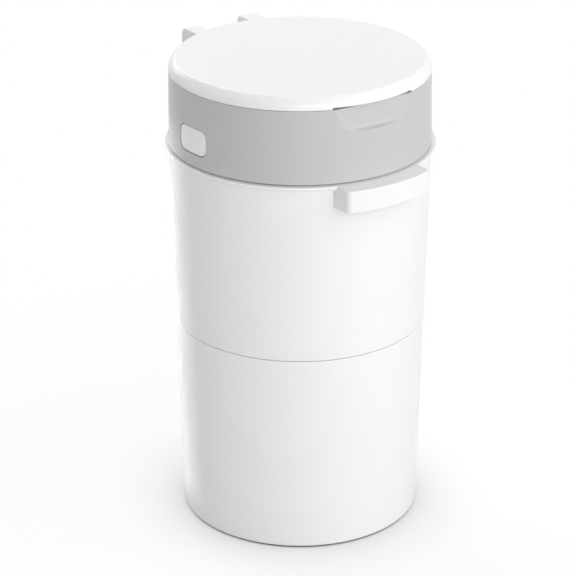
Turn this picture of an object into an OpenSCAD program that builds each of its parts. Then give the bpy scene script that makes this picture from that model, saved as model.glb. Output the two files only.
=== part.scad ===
// Round nappy bin, in millimetres, +Z up, standing on the floor at z = 0.
// The axis of the bin is the Z axis. The front grip is at -Y and both hinges are at +Y.
// Lower and upper shells make the body. The head is a rim ring with the front grip, a grey collar,
// a throat with two sprung flaps and a lid. Two side buttons free the head, which tilts back.

/* [Body] */
// Outer radius of the body at the floor
foot_r = 117.8; // [113:0.2:119]
// Outer radius of the body at its rim
rim_r = 126.6; // [124:0.2:130]
// Height of the body's rim above the floor
rim_z = 380.6; // [350:0.1:420]
// Height of the seam between the two shells
seam_z = 204.4; // [170:0.1:240]
// Wall of the shells, the collar and the grip
wall = 2.6; // [2.2:0.1:3]
// Thickness of the floor
floor_t = 3; // [2:0.1:5]
// Rounding of the outer bottom edge
bottom_edge_r = 2.4; // [1:0.1:2.6]
// Rounding inside, between wall and floor
floor_fillet_r = 6; // [3:0.5:12]
// Width of the raised band that the feet sit in
foot_band_w = 20; // [18:0.5:26]
// Depth of the hollow under the floor
under_recess = 1.6; // [1:0.1:2.5]
// Open width of the seam
seam_gap = 0.7; // [0.4:0.1:1.2]
// Chamfer on each side of the seam
seam_chamfer = 0.5; // [0.3:0.1:0.9]
// Depth of the upper shell's spigot in the lower shell
spigot_h = 16; // [13:0.5:24]
// Wall of the spigot
spigot_wall = 2.2; // [1.8:0.1:3]
// Radius of the snap bead round the spigot
bead_r = 0.9; // [0.6:0.1:1.1]
// Height of the odour seal in the seam
seam_seal_h = 2.2; // [1.6:0.1:3]
// Depth of its groove
seam_seal_depth = 1; // [0.7:0.1:1.2]

/* [Feet] */
// Number of rubber feet
foot_count = 4; // [3:1:8]
// Radius of a foot
foot_pad_r = 7.5; // [5:0.5:8.5]
// Thickness of a foot
foot_pad_t = 2.2; // [1.8:0.1:3]
// How far a foot stands out of the body
foot_proud = 1.2; // [0.8:0.1:1.6]

/* [Bag ring] */
// Drop from the rim to the seat that carries the bag ring
seat_drop = 42; // [38:0.5:60]
// Width of the seat
seat_w = 17; // [14:0.5:19]
// Height of the seat's outer band
seat_h = 12; // [8:0.5:20]
// Wall of the seat
seat_wall = 2.4; // [2:0.1:3]
// How far the bead under the seat stands out of the body's wall
seat_bead_w = 1.8; // [1.5:0.1:2.4]
// How far the bag ring reaches in past the seat
bag_ring_lip = 3; // [1:0.5:6]
// Gap between the bag ring's flange and the body's wall
bag_ring_gap = 5; // [3.5:0.5:8]
// Height of the bag ring
bag_ring_h = 15; // [10:0.5:18]
// Wall of the bag ring
bag_ring_wall = 2.2; // [1.6:0.1:3]
// Width of the two finger notches in the bag ring
bag_notch_w = 28; // [20:1:40]

/* [Rim ring and grip] */
// How far the ring stands out past the body
ring_overhang = 4.4; // [3:0.1:6]
// Thickness of the ring
ring_t = 3.2; // [1.8:0.1:4]
// Width of the ring inside the walls that the button springs push against
ring_lip = 3; // [1.5:0.1:5]
// Gap between the ring and the body's rim
rim_gap = 0.3; // [0.2:0.05:0.5]
// Depth of the skirt inside the body
skirt_h = 10.5; // [8:0.5:11]
// Wall of the skirt
skirt_wall = 2.2; // [1.8:0.1:2.4]
// Gap between the skirt and the body's inner wall
skirt_gap = 2.2; // [1.6:0.1:2.6]
// Height of the rubber seal on the skirt
rim_seal_h = 3.5; // [2:0.1:5]
// Width of the front grip
grip_w = 96; // [80:1:110]
// How far the grip stands out past the body
grip_reach = 20.9; // [17:0.1:30]
// Height of the grip
grip_h = 21.5; // [16:0.5:26]
// Rounding of the grip's upright corners
grip_corner_r = 5; // [4:0.5:10]
// Gap between the grip's ends and the body
grip_end_gap = 0.9; // [0.6:0.1:2]

/* [Collar] */
// Height of the collar's wall
collar_h = 71; // [66:0.1:85]
// Open groove between the collar's wall and the ring
collar_gap = 1.4; // [0.5:0.1:1.8]
// Thickness of the lip that closes this groove from inside
collar_lip_t = 1.8; // [1.4:0.1:2.4]
// How much narrower the collar is at its top
collar_draft = 1.3; // [0:0.1:2]
// Width of the collar's top, from its outside to the well under the lid
deck_w = 11.1; // [10.5:0.1:11.8]
// Wall of the well and of the shelf in it
well_wall = 2.2; // [1.8:0.1:2.6]
// Depth of the well, down to the funnel's shelf
well_depth = 8.3; // [7.6:0.1:9.5]
// Width of the shelf that carries the funnel
shelf_w = 10.2; // [7.2:0.1:12.2]
// Angle from the front's middle to the middle of the finger recess, towards the left
recess_turn = 1.9; // [0:0.1:4]
// Depth of the finger recess at its top
recess_top_depth = 7.4; // [6.5:0.1:7.6]
// Depth of the finger recess where its foot starts to curve
recess_foot_depth = 4.6; // [4:0.1:5.5]
// Height of the recess above its curved foot
recess_h = 17; // [12:0.5:20]
// Radius of the curved foot of the recess
recess_cove_r = 5.7; // [5:0.1:6.5]

/* [Throat] */
// Inner radius of the throat
throat_r = 76; // [72:0.5:78]
// Wall of the funnel
funnel_wall = 2.4; // [2:0.1:3]
// Width of the funnel's flat edge, which lies on the shelf
funnel_flat_w = 15.2; // [13.2:0.1:18.2]
// Depth of the sloping part of the funnel
funnel_slope_h = 20; // [14:0.5:26]
// Depth of the straight part of the throat
throat_h = 26; // [20:0.5:30]
// Width of the flange round the throat's foot
throat_flange_w = 10; // [8:0.5:11]
// Depth of the straight ledge in the throat over each flap's hinge
throat_ledge_w = 9; // [7:0.5:11]
// Thickness of the throat's rubber seal
throat_seal_t = 1.5; // [1:0.1:2.5]
// Width of the throat's rubber seal
throat_seal_w = 3; // [2:0.1:4]
// Thickness of a flap
flap_t = 2.4; // [1.8:0.1:3]
// How far a flap reaches past the throat's straight edge
flap_overlap = 2.2; // [1.6:0.1:3]
// Distance of a flap's pin behind the flap's straight edge
flap_pin_out = 4.8; // [4.6:0.1:5.5]
// Radius of a flap's hinge pin
flap_pin_r = 1.6; // [1.2:0.1:1.8]
// Radius of the knuckles on the flap pins
flap_knuckle_r = 4; // [3.6:0.1:4.2]
// Drop of the flap pins below the flaps' top faces
flap_pin_drop = 4.7; // [4.5:0.1:6]
// Distance of a flap's knuckles from the middle
flap_knuckle_x = 23; // [20:0.5:25]
// Width of a knuckle
flap_knuckle_w = 10; // [6:0.5:11]
// Width of an ear that holds a flap's pin
flap_ear_w = 4; // [3:0.5:5]
// Wire of the flap springs
coil_wire = 0.9; // [0.7:0.05:1]
// Turns of a flap spring
coil_turns = 9; // [6:1:10]

/* [Lid] */
// Height of the lid above its seam
lid_h = 11.8; // [9.2:0.1:14]
// How far the lid's edge curves in from the seam to the flat top
lid_edge_w = 6.3; // [3:0.1:8]
// How late this curve bends, as a power
lid_edge_bend = 2.5; // [1.6:0.1:3]
// Wall of the lid
lid_wall = 2.4; // [2:0.1:2.8]
// Gap between the lid and the collar
lid_gap = 0.5; // [0.3:0.1:0.9]
// Half angle of the finger notch in the lid's edge
notch_angle = 21; // [14:0.1:24]
// Height of the finger notch
notch_h = 2; // [1:0.1:2.6]
// Thickness of the lid's liner
liner_t = 2.2; // [1.6:0.1:2.6]
// Number of bosses that carry the liner
liner_boss_count = 6; // [3:1:10]
// Distance of these bosses inside the lid's seal
liner_boss_inset = 15; // [8:1:40]
// Width of a lid hinge lug
lug_w = 16.6; // [10:0.2:18]
// Distance of a lug's centre from the middle
lug_x = 33.2; // [30:0.1:40]
// Radius of a lug's boss round the pin
lug_r = 7.5; // [6:0.1:7.6]
// Distance of the lid's pin behind the collar's top edge
lid_pin_out = 6.2; // [6.2:0.1:8]
// Drop of the lid's pin below the collar's top edge
lid_pin_drop = 6.5; // [5.5:0.1:8]
// Radius of the lid's hinge pin
lid_pin_r = 2.2; // [1.6:0.1:3]

/* [Head hinge] */
// Distance of the head's pin behind the body's rim
head_pin_out = 12.9; // [12.5:0.1:16]
// Drop of the head's pin below the body's rim
head_pin_drop = 1.7; // [1:0.1:3]
// Radius of the knuckles on the head's pin
head_knuckle_r = 8; // [6.5:0.1:8]
// Radius of the head's hinge pin
head_pin_r = 3; // [2:0.1:4]
// Half width of the ring's own knuckle
tongue_half_w = 28; // [20:0.5:32]
// Width of each bracket ear
ear_w = 11.5; // [8:0.5:16]
// Height of the bracket's plate on the body
bracket_h = 22; // [18:0.5:30]
// Thickness of the bracket's plate
bracket_t = 3; // [2.4:0.1:4]

/* [Buttons and latches] */
// Width of a button
button_w = 41; // [36:0.5:44]
// Height of a button
button_h = 24.8; // [22:0.2:28]
// Rounding of a button's corners
button_corner_r = 8; // [5:0.5:10]
// Height of a button's centre above the collar's foot
button_rise = 24.8; // [22:0.2:30]
// Open gap round a button
button_gap = 0.8; // [0.5:0.1:1.2]
// How deep a button's cap reaches in
button_depth = 8; // [7:0.5:9]
// Wall of a button's cap
button_wall = 2.2; // [1.6:0.1:3]
// Travel of a button
button_travel = 3.5; // [2.5:0.1:3.8]
// Width of the latch arm
latch_w = 18; // [12:0.5:20]
// Thickness of the latch arm
latch_t = 4; // [3:0.1:5]
// Gap between the latch arm and the ring's skirt
arm_gap = 3.5; // [2:0.1:4]
// How far the latch's nose stands out of its arm
nose_reach = 2.6; // [2:0.1:3.2]
// Height of the nose
nose_h = 3.5; // [2.5:0.1:4]
// Height of the catch rib inside the body
catch_h = 3; // [2:0.1:4]
// Gap between the latch's nose and the catch rib, wide enough for the head to tilt
catch_gap = 1; // [0.6:0.1:1.4]
// Drop from the rim to the top of the catch rib
catch_drop = 11; // [10.8:0.1:13]
// Outer radius of a button spring
button_spring_r = 4.6; // [3.6:0.1:5.5]
// Wire of the button springs
button_wire = 0.9; // [0.7:0.05:1.1]
// Free turns of a button spring
button_spring_turns = 6; // [4:1:7]
// Length of a button spring
button_spring_l = 14; // [12:0.5:16]

/* [Fasteners and clearances] */
// Radius of a screw's shank
screw_r = 1.6; // [1.3:0.1:1.9]
// Radius of a screw's head
screw_head_r = 3.2; // [2.6:0.1:3.4]
// Height of a screw's head
screw_head_h = 1.8; // [1.4:0.1:2.2]
// Distance of the head's screws inside the body's rim
boss_inset = 15.6; // [14:0.2:17.6]
// Radius of the collar's screw bosses
boss_r = 4.6; // [4:0.1:5.4]
// Height of these bosses
boss_h = 16; // [12:0.5:22]
// Radial clearance of every pin and screw in its hole
pin_clearance = 0.05; // [0.03:0.01:0.08]
// Gap between pieces that move past each other
run_gap = 0.3; // [0.25:0.05:0.45]
// Gap between shells that plug together
plug_gap = 0.3; // [0.2:0.05:0.45]

/* [Hidden] */
$fn = 96;
eps = 0.01;
FRONT = -1;
REAR = 1;
LEFT = -1;
RIGHT = 1;

// Levels of the body, from the floor up
base_z = foot_proud;
floor_z = base_z + under_recess + floor_t;
lower_top_z = seam_z - seam_gap / 2;
upper_foot_z = seam_z + seam_gap / 2;
spigot_foot_z = seam_z - spigot_h;
seat_z = rim_z - seat_drop;
seat_foot_z = seat_z - seat_h;

// Levels of the head
ring_z = rim_z + rim_gap;
ring_top_z = ring_z + ring_t;
collar_z = ring_top_z + collar_gap;
collar_top_z = collar_z + collar_h;
shelf_z = collar_top_z - well_depth;
funnel_top_z = shelf_z + funnel_wall;
throat_top_z = shelf_z - funnel_slope_h;
throat_foot_z = throat_top_z - throat_h;
throat_flange_z = throat_foot_z - funnel_wall;
flap_top_z = throat_flange_z - throat_seal_t - run_gap;
flap_pin_z = flap_top_z - flap_pin_drop;
lid_z = collar_top_z + lid_gap;
lid_top_z = lid_z + lid_h;
button_z = collar_z + button_rise;

// Spigot, bead and seal in the body's seam
spigot_r = body_r(spigot_foot_z) - wall - plug_gap;
bead_z = spigot_foot_z + spigot_h * 0.44;
seam_seal_z = lower_top_z - 2 - seam_seal_h;

// Radii of the rim, the bag ring and its seat
rim_in_r = rim_r - wall;
ring_r = rim_r + ring_overhang;
skirt_r = rim_in_r - skirt_gap;
seat_r = body_r(seat_foot_z) - wall - plug_gap;
seat_in_r = seat_r - seat_w;
bag_ring_in_r = seat_in_r - bag_ring_lip;
bag_ring_out_r = seat_r - bag_ring_gap;

// Radii of the collar, its well and the funnel
collar_top_r = rim_r - collar_draft;
well_r = collar_top_r - deck_w;
shelf_in_r = well_r - shelf_w;
funnel_r = well_r - plug_gap - 0.5;
funnel_lip_r = well_r - funnel_flat_w;
recess_half_w = sqrt(pow(collar_top_r, 2) - pow(collar_top_r - recess_top_depth, 2)) + wall + 2;

// Flaps
throat_chord_y = throat_r - throat_ledge_w;
flap_r = throat_r + 1;
flap_chord_y = throat_chord_y + flap_overlap;
flap_pin_y = flap_chord_y + flap_pin_out;
flap_middle_gap = 0.3;
flap_ear_gap = 2;
flap_ear_x = flap_knuckle_x + flap_knuckle_w / 2 + flap_ear_gap + flap_ear_w / 2;
coil_pitch = coil_wire + 0.6;
coil_r = flap_pin_r + 0.7 + coil_wire / 2;

// Hinge pins
head_pin_y = rim_r + head_pin_out;
head_pin_z = rim_z - head_pin_drop;
lid_pin_y = collar_top_r + lid_pin_out;
lid_pin_z = collar_top_z - lid_pin_drop;
lug_end_t = 3.3;
lid_pin_end_x = lug_x + lug_w / 2 - lug_end_t;
ear_in_x = tongue_half_w + run_gap + 0.2;
ear_out_x = ear_in_x + ear_w;
bracket_z = head_pin_z - head_knuckle_r - 0.6;
bracket_screw_x = tongue_half_w / 2;
bracket_screw_z = bracket_z - bracket_h * 0.6;
bracket_gap = 0.3;
bracket_screw_seat = bracket_gap + 0.9;

// Latches. The arm runs inside the skirt, and the nose stops short of the catch
arm_x = skirt_r - skirt_wall - arm_gap;
nose_x = arm_x + nose_reach;
catch_z = rim_z - catch_drop;
catch_r = nose_x + catch_gap;
nose_top_z = catch_z - catch_h - run_gap;
button_face_r = collar_mid_r(button_z) - 0.3;
button_back_x = button_face_r - button_depth;
latch_plate_t = 2.2;
latch_plate_x = button_back_x - latch_plate_t;
latch_plate_w = button_w + 6;
latch_plate_h = button_h + 6;
frame_margin = 5;
spring_wall_x = latch_plate_x - button_spring_l - run_gap;
spring_wall_t = 2.4;
spring_wall_w = latch_w + 8;
spring_peg_r = button_spring_r - button_wire - 0.6;
rail_t = 2;
ring_in_r = spring_wall_x - spring_wall_t - ring_lip;

// Fastener places
boss_pitch_r = rim_r - boss_inset;
boss_angles = [45, 135, 225, 315];
foot_pitch_r = foot_r - foot_band_w / 2 - 0.3;

// Liner and seal of the lid
liner_r = well_r - 1.9;
lid_seal_h = 2.6;
lid_seal_out_r = well_r - 4.2;
lid_seal_in_r = lid_seal_out_r - 7;
liner_z = funnel_top_z + run_gap + lid_seal_h;
liner_boss_pitch_r = lid_seal_in_r - liner_boss_inset;

// Outer radius of the tapered body at a height
function body_r(z) = foot_r + (rim_r - foot_r) * z / rim_z;

// Outer radius of the collar at a height
function collar_mid_r(z) = rim_r - collar_draft * (z - collar_z) / collar_h;

// Points of an arc, in the plane of the section
function arc(x, y, r, from, to, n = 8) =
    [for (i = [0:n]) [x + r * cos(from + (to - from) * i / n), y + r * sin(from + (to - from) * i / n)]];

// A flat ring
module ring(outer, inner, h) {
    difference() {
        cylinder(h = h, r = outer);
        translate([0, 0, -1]) cylinder(h = h + 2, r = inner);
    }
}

// A wedge of a disc, centred on the front, as a flat shape
module front_wedge(r, half_angle) {
    polygon(concat([[0, 0]], [for (a = [-half_angle, -half_angle / 2, 0, half_angle / 2, half_angle])
        [r * sin(a), -r * cos(a)]]));
}

// A rod along X
module rod_x(r, x0, x1) {
    translate([x0, 0, 0]) rotate([0, 90, 0]) cylinder(h = x1 - x0, r = r);
}

// A side profile, drawn as Y and Z, given a width along X
module across(x0, x1) {
    translate([x0, 0, 0]) rotate([90, 0, 90]) linear_extrude(x1 - x0) children();
}

// A rounded rectangle
module rounded_rect(w, h, r) {
    union() {
        square([w - 2 * r, h], center = true);
        square([w, h - 2 * r], center = true);
        for (x = [-1, 1], y = [-1, 1])
            translate([x * (w / 2 - r), y * (h / 2 - r)]) circle(r = r);
    }
}

// A button's outline, as a bar along X at the height of the buttons
module button_bar(w, h, r, x0, x1) {
    translate([x0, 0, button_z]) rotate([90, 0, 90]) linear_extrude(x1 - x0) rounded_rect(w, h, r);
}

// Draws its children for the left or the right side
module on_side(side) {
    if (side == RIGHT) children();
    else mirror([1, 0, 0]) children();
}

// Draws its children at the front or at the rear
module at_end(end) {
    if (end == REAR) children();
    else mirror([0, 1, 0]) children();
}

// A tube swept along a line of points, with its rings square to the line
module swept_wire(points, r, sides = 6) {
    last = len(points) - 1;
    rings = [for (i = [0:last])
        let (
            d = points[min(i + 1, last)] - points[max(i - 1, 0)],
            t = d / norm(d),
            u0 = cross(t, abs(t[0]) > 0.9 ? [0, 0, 1] : [1, 0, 0]),
            u = u0 / norm(u0),
            v = cross(t, u)
        )
        each [for (k = [0:sides - 1])
            points[i] + r * (cos(360 * k / sides) * u + sin(360 * k / sides) * v)]];
    polyhedron(
        points = rings,
        faces = concat(
            [for (i = [0:last - 1], k = [0:sides - 1])
                [i * sides + k, (i + 1) * sides + k, (i + 1) * sides + (k + 1) % sides]],
            [for (i = [0:last - 1], k = [0:sides - 1])
                [i * sides + k, (i + 1) * sides + (k + 1) % sides, i * sides + (k + 1) % sides]],
            [for (k = [1:sides - 2]) [0, k, k + 1]],
            [for (k = [1:sides - 2]) [last * sides, last * sides + k + 1, last * sides + k]]
        ),
        convexity = 6
    );
}

// Lower shell: a tapered tub with a hollow under its floor and pockets for the feet
module lower_body() {
    r_foot = body_r(base_z);
    band_in = foot_r - foot_band_w;
    color("white") difference() {
        rotate_extrude() polygon(concat(
            [[0, base_z + under_recess], [band_in - under_recess, base_z + under_recess], [band_in, base_z]],
            arc(r_foot - bottom_edge_r, base_z + bottom_edge_r, bottom_edge_r, -90, 0),
            [[body_r(lower_top_z - seam_chamfer), lower_top_z - seam_chamfer],
             [body_r(lower_top_z) - seam_chamfer, lower_top_z],
             [body_r(lower_top_z) - wall, lower_top_z]],
            arc(body_r(floor_z) - wall - floor_fillet_r, floor_z + floor_fillet_r, floor_fillet_r, 0, -90),
            [[0, floor_z]]
        ));
        translate([0, 0, bead_z]) rotate_extrude()
            translate([spigot_r, 0]) circle(r = bead_r + plug_gap, $fn = 24);
        foot_places() translate([0, 0, base_z - 1])
            cylinder(h = 1 + foot_pad_t - foot_proud, r = foot_pad_r + 0.15);
    }
}

// Places of the feet
module foot_places() {
    for (i = [0:foot_count - 1])
        rotate([0, 0, 360 / foot_count * (i + 0.5)]) translate([foot_pitch_r, 0, 0]) children();
}

// Rubber feet, each a pad with a turned edge
module grip_feet() {
    edge = 0.4;
    color("dimgray") foot_places() rotate_extrude() polygon([
        [0, 0], [foot_pad_r - edge, 0], [foot_pad_r, edge], [foot_pad_r, foot_pad_t], [0, foot_pad_t]
    ]);
}

// Upper shell: spigot at its foot, bead under the seat, catch ribs and bosses for the bracket
module upper_body() {
    step_z = upper_foot_z + 6;
    rim_edge = 0.9;
    spigot_edge = 0.8;
    seat_wall_r = body_r(seat_foot_z) - wall;
    color("white") difference() {
        union() {
            rotate_extrude() polygon(concat(
                [[body_r(upper_foot_z) - seam_chamfer, upper_foot_z],
                 [body_r(upper_foot_z + seam_chamfer), upper_foot_z + seam_chamfer]],
                arc(rim_r - rim_edge, rim_z - rim_edge, rim_edge, 0, 90, 4),
                [[rim_in_r, rim_z],
                 [seat_wall_r, seat_foot_z],
                 [seat_wall_r - seat_bead_w, seat_foot_z],
                 [seat_wall_r - seat_bead_w, seat_foot_z - 1],
                 [body_r(seat_foot_z - 4) - wall, seat_foot_z - 4],
                 [body_r(step_z) - wall, step_z],
                 [spigot_r - spigot_wall, step_z - 4],
                 [spigot_r - spigot_wall, spigot_foot_z],
                 [spigot_r - spigot_edge, spigot_foot_z],
                 [spigot_r, spigot_foot_z + spigot_edge],
                 [spigot_r, upper_foot_z]]
            ));
            translate([0, 0, bead_z]) rotate_extrude()
                translate([spigot_r - eps, 0]) circle(r = bead_r, $fn = 24);
            for (side = [LEFT, RIGHT]) on_side(side) catch_rib();
            bracket_screw_places() translate([0, 0, -wall - 4]) cylinder(h = wall + 3, r = 5);
        }
        seam_seal_ring(spigot_r - seam_seal_depth, spigot_r + 2);
        bracket_screw_places() translate([0, 0, -wall - 6])
            cylinder(h = wall + 10, r = screw_r + pin_clearance);
    }
}

// Rib inside the rim that a latch nose holds under
module catch_rib() {
    translate([0, 0, catch_z - catch_h]) linear_extrude(catch_h) intersection() {
        difference() {
            circle(r = rim_in_r + 0.8);
            circle(r = catch_r);
        }
        translate([0, -latch_w / 2 - 1]) square([ring_r, latch_w + 2]);
    }
}

// Places of the bracket's screws on the rear wall, with Z pointing out of the wall
module bracket_screw_places() {
    for (x = [-bracket_screw_x, bracket_screw_x])
        translate([x, sqrt(pow(rim_r, 2) - x * x), bracket_screw_z]) rotate([-90, 0, 0]) children();
}

// A ring with the height and the place of the seam's seal
module seam_seal_ring(inner, outer) {
    translate([0, 0, seam_seal_z]) ring(outer, inner, seam_seal_h);
}

// Odour seal in the seam, carried by the spigot
module body_seal() {
    color("dimgray") translate([0, 0, seam_seal_z + 0.1])
        ring(body_r(seam_seal_z) - wall - 0.12, spigot_r - seam_seal_depth + 0.1, seam_seal_h - 0.2);
}

// Seat of the bag ring: an inverted channel that stands on the bead inside the upper shell
module bag_ring_seat() {
    lip_h = 6;
    color("white") rotate_extrude() polygon([
        [seat_in_r, seat_z - lip_h], [seat_in_r + seat_wall, seat_z - lip_h],
        [seat_in_r + seat_wall, seat_z - seat_wall], [seat_r - seat_wall, seat_z - seat_wall],
        [seat_r - seat_wall, seat_foot_z], [seat_r, seat_foot_z], [seat_r, seat_z], [seat_in_r, seat_z]
    ]);
}

// Loose ring that the bag is folded over, standing on its seat, with two finger notches
module bag_ring() {
    top = seat_z + bag_ring_h;
    neck_r = bag_ring_in_r + bag_ring_wall;
    color("lightgray") difference() {
        rotate_extrude() polygon([
            [bag_ring_in_r, seat_z], [bag_ring_out_r, seat_z], [bag_ring_out_r, seat_z + bag_ring_wall],
            [neck_r, seat_z + bag_ring_wall], [neck_r, top - 3], [neck_r + 2, top - 1.5],
            [neck_r + 2, top], [bag_ring_in_r, top]
        ]);
        for (side = [LEFT, RIGHT]) on_side(side)
            translate([bag_ring_in_r - 2, -bag_notch_w / 2, seat_z + bag_ring_wall + 3])
                cube([8, bag_notch_w, bag_ring_h]);
    }
}

// Bracket on the rear wall, with an ear on each side of the ring's knuckle
module hinge_bracket() {
    plate_top = bracket_z;
    plate_foot = bracket_z - bracket_h;
    plate_in = rim_r + bracket_gap;
    color("lightgray") difference() {
        union() {
            translate([0, 0, plate_foot]) intersection() {
                ring(plate_in + bracket_t, plate_in, bracket_h);
                translate([-ear_out_x, 0, 0]) cube([2 * ear_out_x, 2 * rim_r, bracket_h]);
            }
            for (side = [LEFT, RIGHT]) on_side(side) bracket_ear(plate_foot, plate_top);
        }
        translate([0, 0, plate_foot - 5]) cylinder(h = bracket_h + 40, r = plate_in);
        translate([0, head_pin_y, head_pin_z])
            rod_x(head_pin_r + pin_clearance, -ear_out_x - 1, ear_out_x + 1);
        bracket_screw_places() {
            translate([0, 0, -5]) cylinder(h = 15, r = screw_r + pin_clearance);
            translate([0, 0, bracket_screw_seat]) cylinder(h = 9, r = screw_head_r + 0.3);
        }
    }
}

// Ear of the bracket on the right side
module bracket_ear(foot, top) {
    across(ear_in_x, ear_out_x) union() {
        translate([head_pin_y, head_pin_z]) circle(r = head_knuckle_r);
        polygon([
            [rim_r - 12, foot], [rim_r + bracket_t + 1, foot],
            [head_pin_y + head_knuckle_r, head_pin_z - 3], [head_pin_y + head_knuckle_r, head_pin_z],
            [head_pin_y - head_knuckle_r, head_pin_z], [rim_r - 12, top]
        ]);
    }
}

// A screw with a domed head. Z points out of its seat
module screw(shank_l) {
    edge = 0.5;
    translate([0, 0, -shank_l]) cylinder(h = shank_l + eps, r = screw_r);
    rotate_extrude() polygon(concat([[0, 0], [screw_head_r, 0], [screw_head_r, edge]],
        [for (i = [1:5]) [screw_head_r * cos(18 * i), edge + (screw_head_h - edge) * sin(18 * i)]]));
}

// The two screws of the bracket
module bracket_screws() {
    color("silver") bracket_screw_places()
        translate([0, 0, bracket_screw_seat]) screw(bracket_screw_seat + wall + 2);
}

// Pin of the head's hinge, with a head on its left end
module head_hinge_pin() {
    head_t = 1.5;
    color("silver") translate([0, head_pin_y, head_pin_z]) {
        rod_x(head_pin_r, -ear_out_x - run_gap, ear_out_x + 2.6);
        rod_x(head_pin_r + 1.8, -ear_out_x - run_gap - head_t, -ear_out_x - run_gap);
    }
}

// Push-on retainer on the right end of the head's pin
module pin_retainer() {
    retainer_t = 1.5;
    color("dimgray") translate([0, head_pin_y, head_pin_z]) difference() {
        rod_x(head_pin_r + 1.8, ear_out_x + run_gap, ear_out_x + run_gap + retainer_t);
        rod_x(head_pin_r + pin_clearance, ear_out_x - 1, ear_out_x + 4);
    }
}

// Outline of the grip seen from above, with rounded corners
module grip_outline(r, w, corner) {
    half = w / 2;
    corner_x = half - corner;
    corner_y = sqrt(pow(r - corner, 2) - pow(corner_x, 2));
    half_angle = atan2(corner_x, corner_y);
    union() {
        intersection() {
            circle(r = r, $fn = 180);
            front_wedge(r * 1.3, half_angle);
        }
        for (x = [-corner_x, corner_x]) translate([x, -corner_y]) circle(r = corner, $fn = 48);
        translate([-half, -corner_y]) square([w, corner_y]);
    }
}

// Front grip: a hooked handle, closed at its ends and open below
module grip() {
    r = rim_r + grip_reach;
    foot = ring_top_z - grip_h;
    difference() {
        translate([0, 0, foot]) linear_extrude(grip_h) grip_outline(r, grip_w, grip_corner_r);
        translate([0, 0, foot - 1]) linear_extrude(grip_h + 1 - ring_t)
            grip_outline(r - wall, grip_w - 2 * wall, grip_corner_r - wall);
        translate([0, 0, foot - 1]) cylinder(h = grip_h + 1 - ring_t, r = rim_r + grip_end_gap);
        translate([0, 0, foot - 1]) cylinder(h = grip_h + 3, r = rim_r - 1);
        translate([-grip_w, -rim_r / 2, foot - 1]) cube([2 * grip_w, rim_r, grip_h + 2]);
    }
}

// Knuckle behind the ring that turns on the head's pin
module ring_tongue() {
    root_y = rim_r - 8;
    knuckle_top = head_pin_z + head_knuckle_r;
    across(-tongue_half_w, tongue_half_w) union() {
        translate([head_pin_y, head_pin_z]) circle(r = head_knuckle_r);
        polygon([
            [root_y, ring_z], [head_pin_y, ring_z], [head_pin_y, knuckle_top],
            [head_pin_y - 3, knuckle_top - 0.6], [rim_r + 3, ring_top_z], [root_y, ring_top_z]
        ]);
    }
}

// Rim ring: flange, skirt, grip, hinge knuckle, latch rails and spring walls
module rim_ring() {
    edge = ring_t / 2;
    skirt_edge = 0.6;
    color("white") difference() {
        union() {
            rotate_extrude() polygon(concat(
                [[ring_in_r, ring_z],
                 [skirt_r - skirt_wall, ring_z], [skirt_r - skirt_wall, ring_z - skirt_h],
                 [skirt_r - skirt_edge, ring_z - skirt_h], [skirt_r, ring_z - skirt_h + skirt_edge],
                 [skirt_r, ring_z]],
                arc(ring_r - edge, ring_z + edge, edge, -90, 90, 8),
                [[ring_in_r, ring_top_z]]
            ));
            grip();
            ring_tongue();
            for (side = [LEFT, RIGHT]) on_side(side) latch_rails();
        }
        translate([0, head_pin_y, head_pin_z])
            rod_x(head_pin_r + pin_clearance, -tongue_half_w - 1, tongue_half_w + 1);
        for (side = [LEFT, RIGHT]) on_side(side) latch_slot();
        for (a = boss_angles) rotate([0, 0, a]) translate([boss_pitch_r, 0, ring_z - 1])
            cylinder(h = ring_t + 2, r = screw_r + pin_clearance);
    }
}

// Slot in the flange for the latch arm
module latch_slot() {
    side_gap = 1;
    out_gap = 0.7;
    translate([arm_x - latch_t - button_travel - side_gap, -latch_w / 2 - side_gap, ring_z - 1])
        cube([latch_t + button_travel + side_gap + out_gap, latch_w + 2 * side_gap, ring_t + 2]);
}

// Rails beside the latch and the wall that its spring pushes against
module latch_rails() {
    rail_h = 5;
    gusset_l = 6;
    peg_l = 4;
    wall_top = button_z + button_spring_r + 4;
    for (y = [-latch_w / 2 - run_gap - rail_t, latch_w / 2 + run_gap])
        translate([spring_wall_x - eps, y, ring_top_z - eps]) cube([arm_x - spring_wall_x, rail_t, rail_h]);
    translate([spring_wall_x - spring_wall_t, -spring_wall_w / 2, ring_top_z - eps])
        cube([spring_wall_t, spring_wall_w, wall_top - ring_top_z]);
    for (y = [-spring_wall_w / 2, spring_wall_w / 2 - rail_t]) across_y(y, rail_t) polygon([
        [spring_wall_x - eps, ring_top_z - eps], [spring_wall_x + gusset_l, ring_top_z - eps],
        [spring_wall_x - eps, button_z]
    ]);
    translate([0, 0, button_z]) rod_x(spring_peg_r, spring_wall_x - eps, spring_wall_x + peg_l);
}

// A profile drawn as X and Z, given a width along Y from y
module across_y(y, w) {
    translate([0, y + w, 0]) rotate([90, 0, 0]) linear_extrude(w) children();
}

// Rubber seal round the skirt, just inside the body's rim
module rim_seal() {
    drop = 0.9;
    lip_gap = 0.4;
    color("dimgray") translate([0, 0, ring_z - drop - rim_seal_h])
        ring(rim_in_r - lip_gap, skirt_r + 0.02, rim_seal_h);
}

// Screws that hold the ring to the collar, from below
module head_screws() {
    color("silver") for (a = boss_angles) rotate([0, 0, a]) translate([boss_pitch_r, 0, ring_z])
        rotate([180, 0, 0]) screw(ring_t + boss_h - 3);
}

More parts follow.
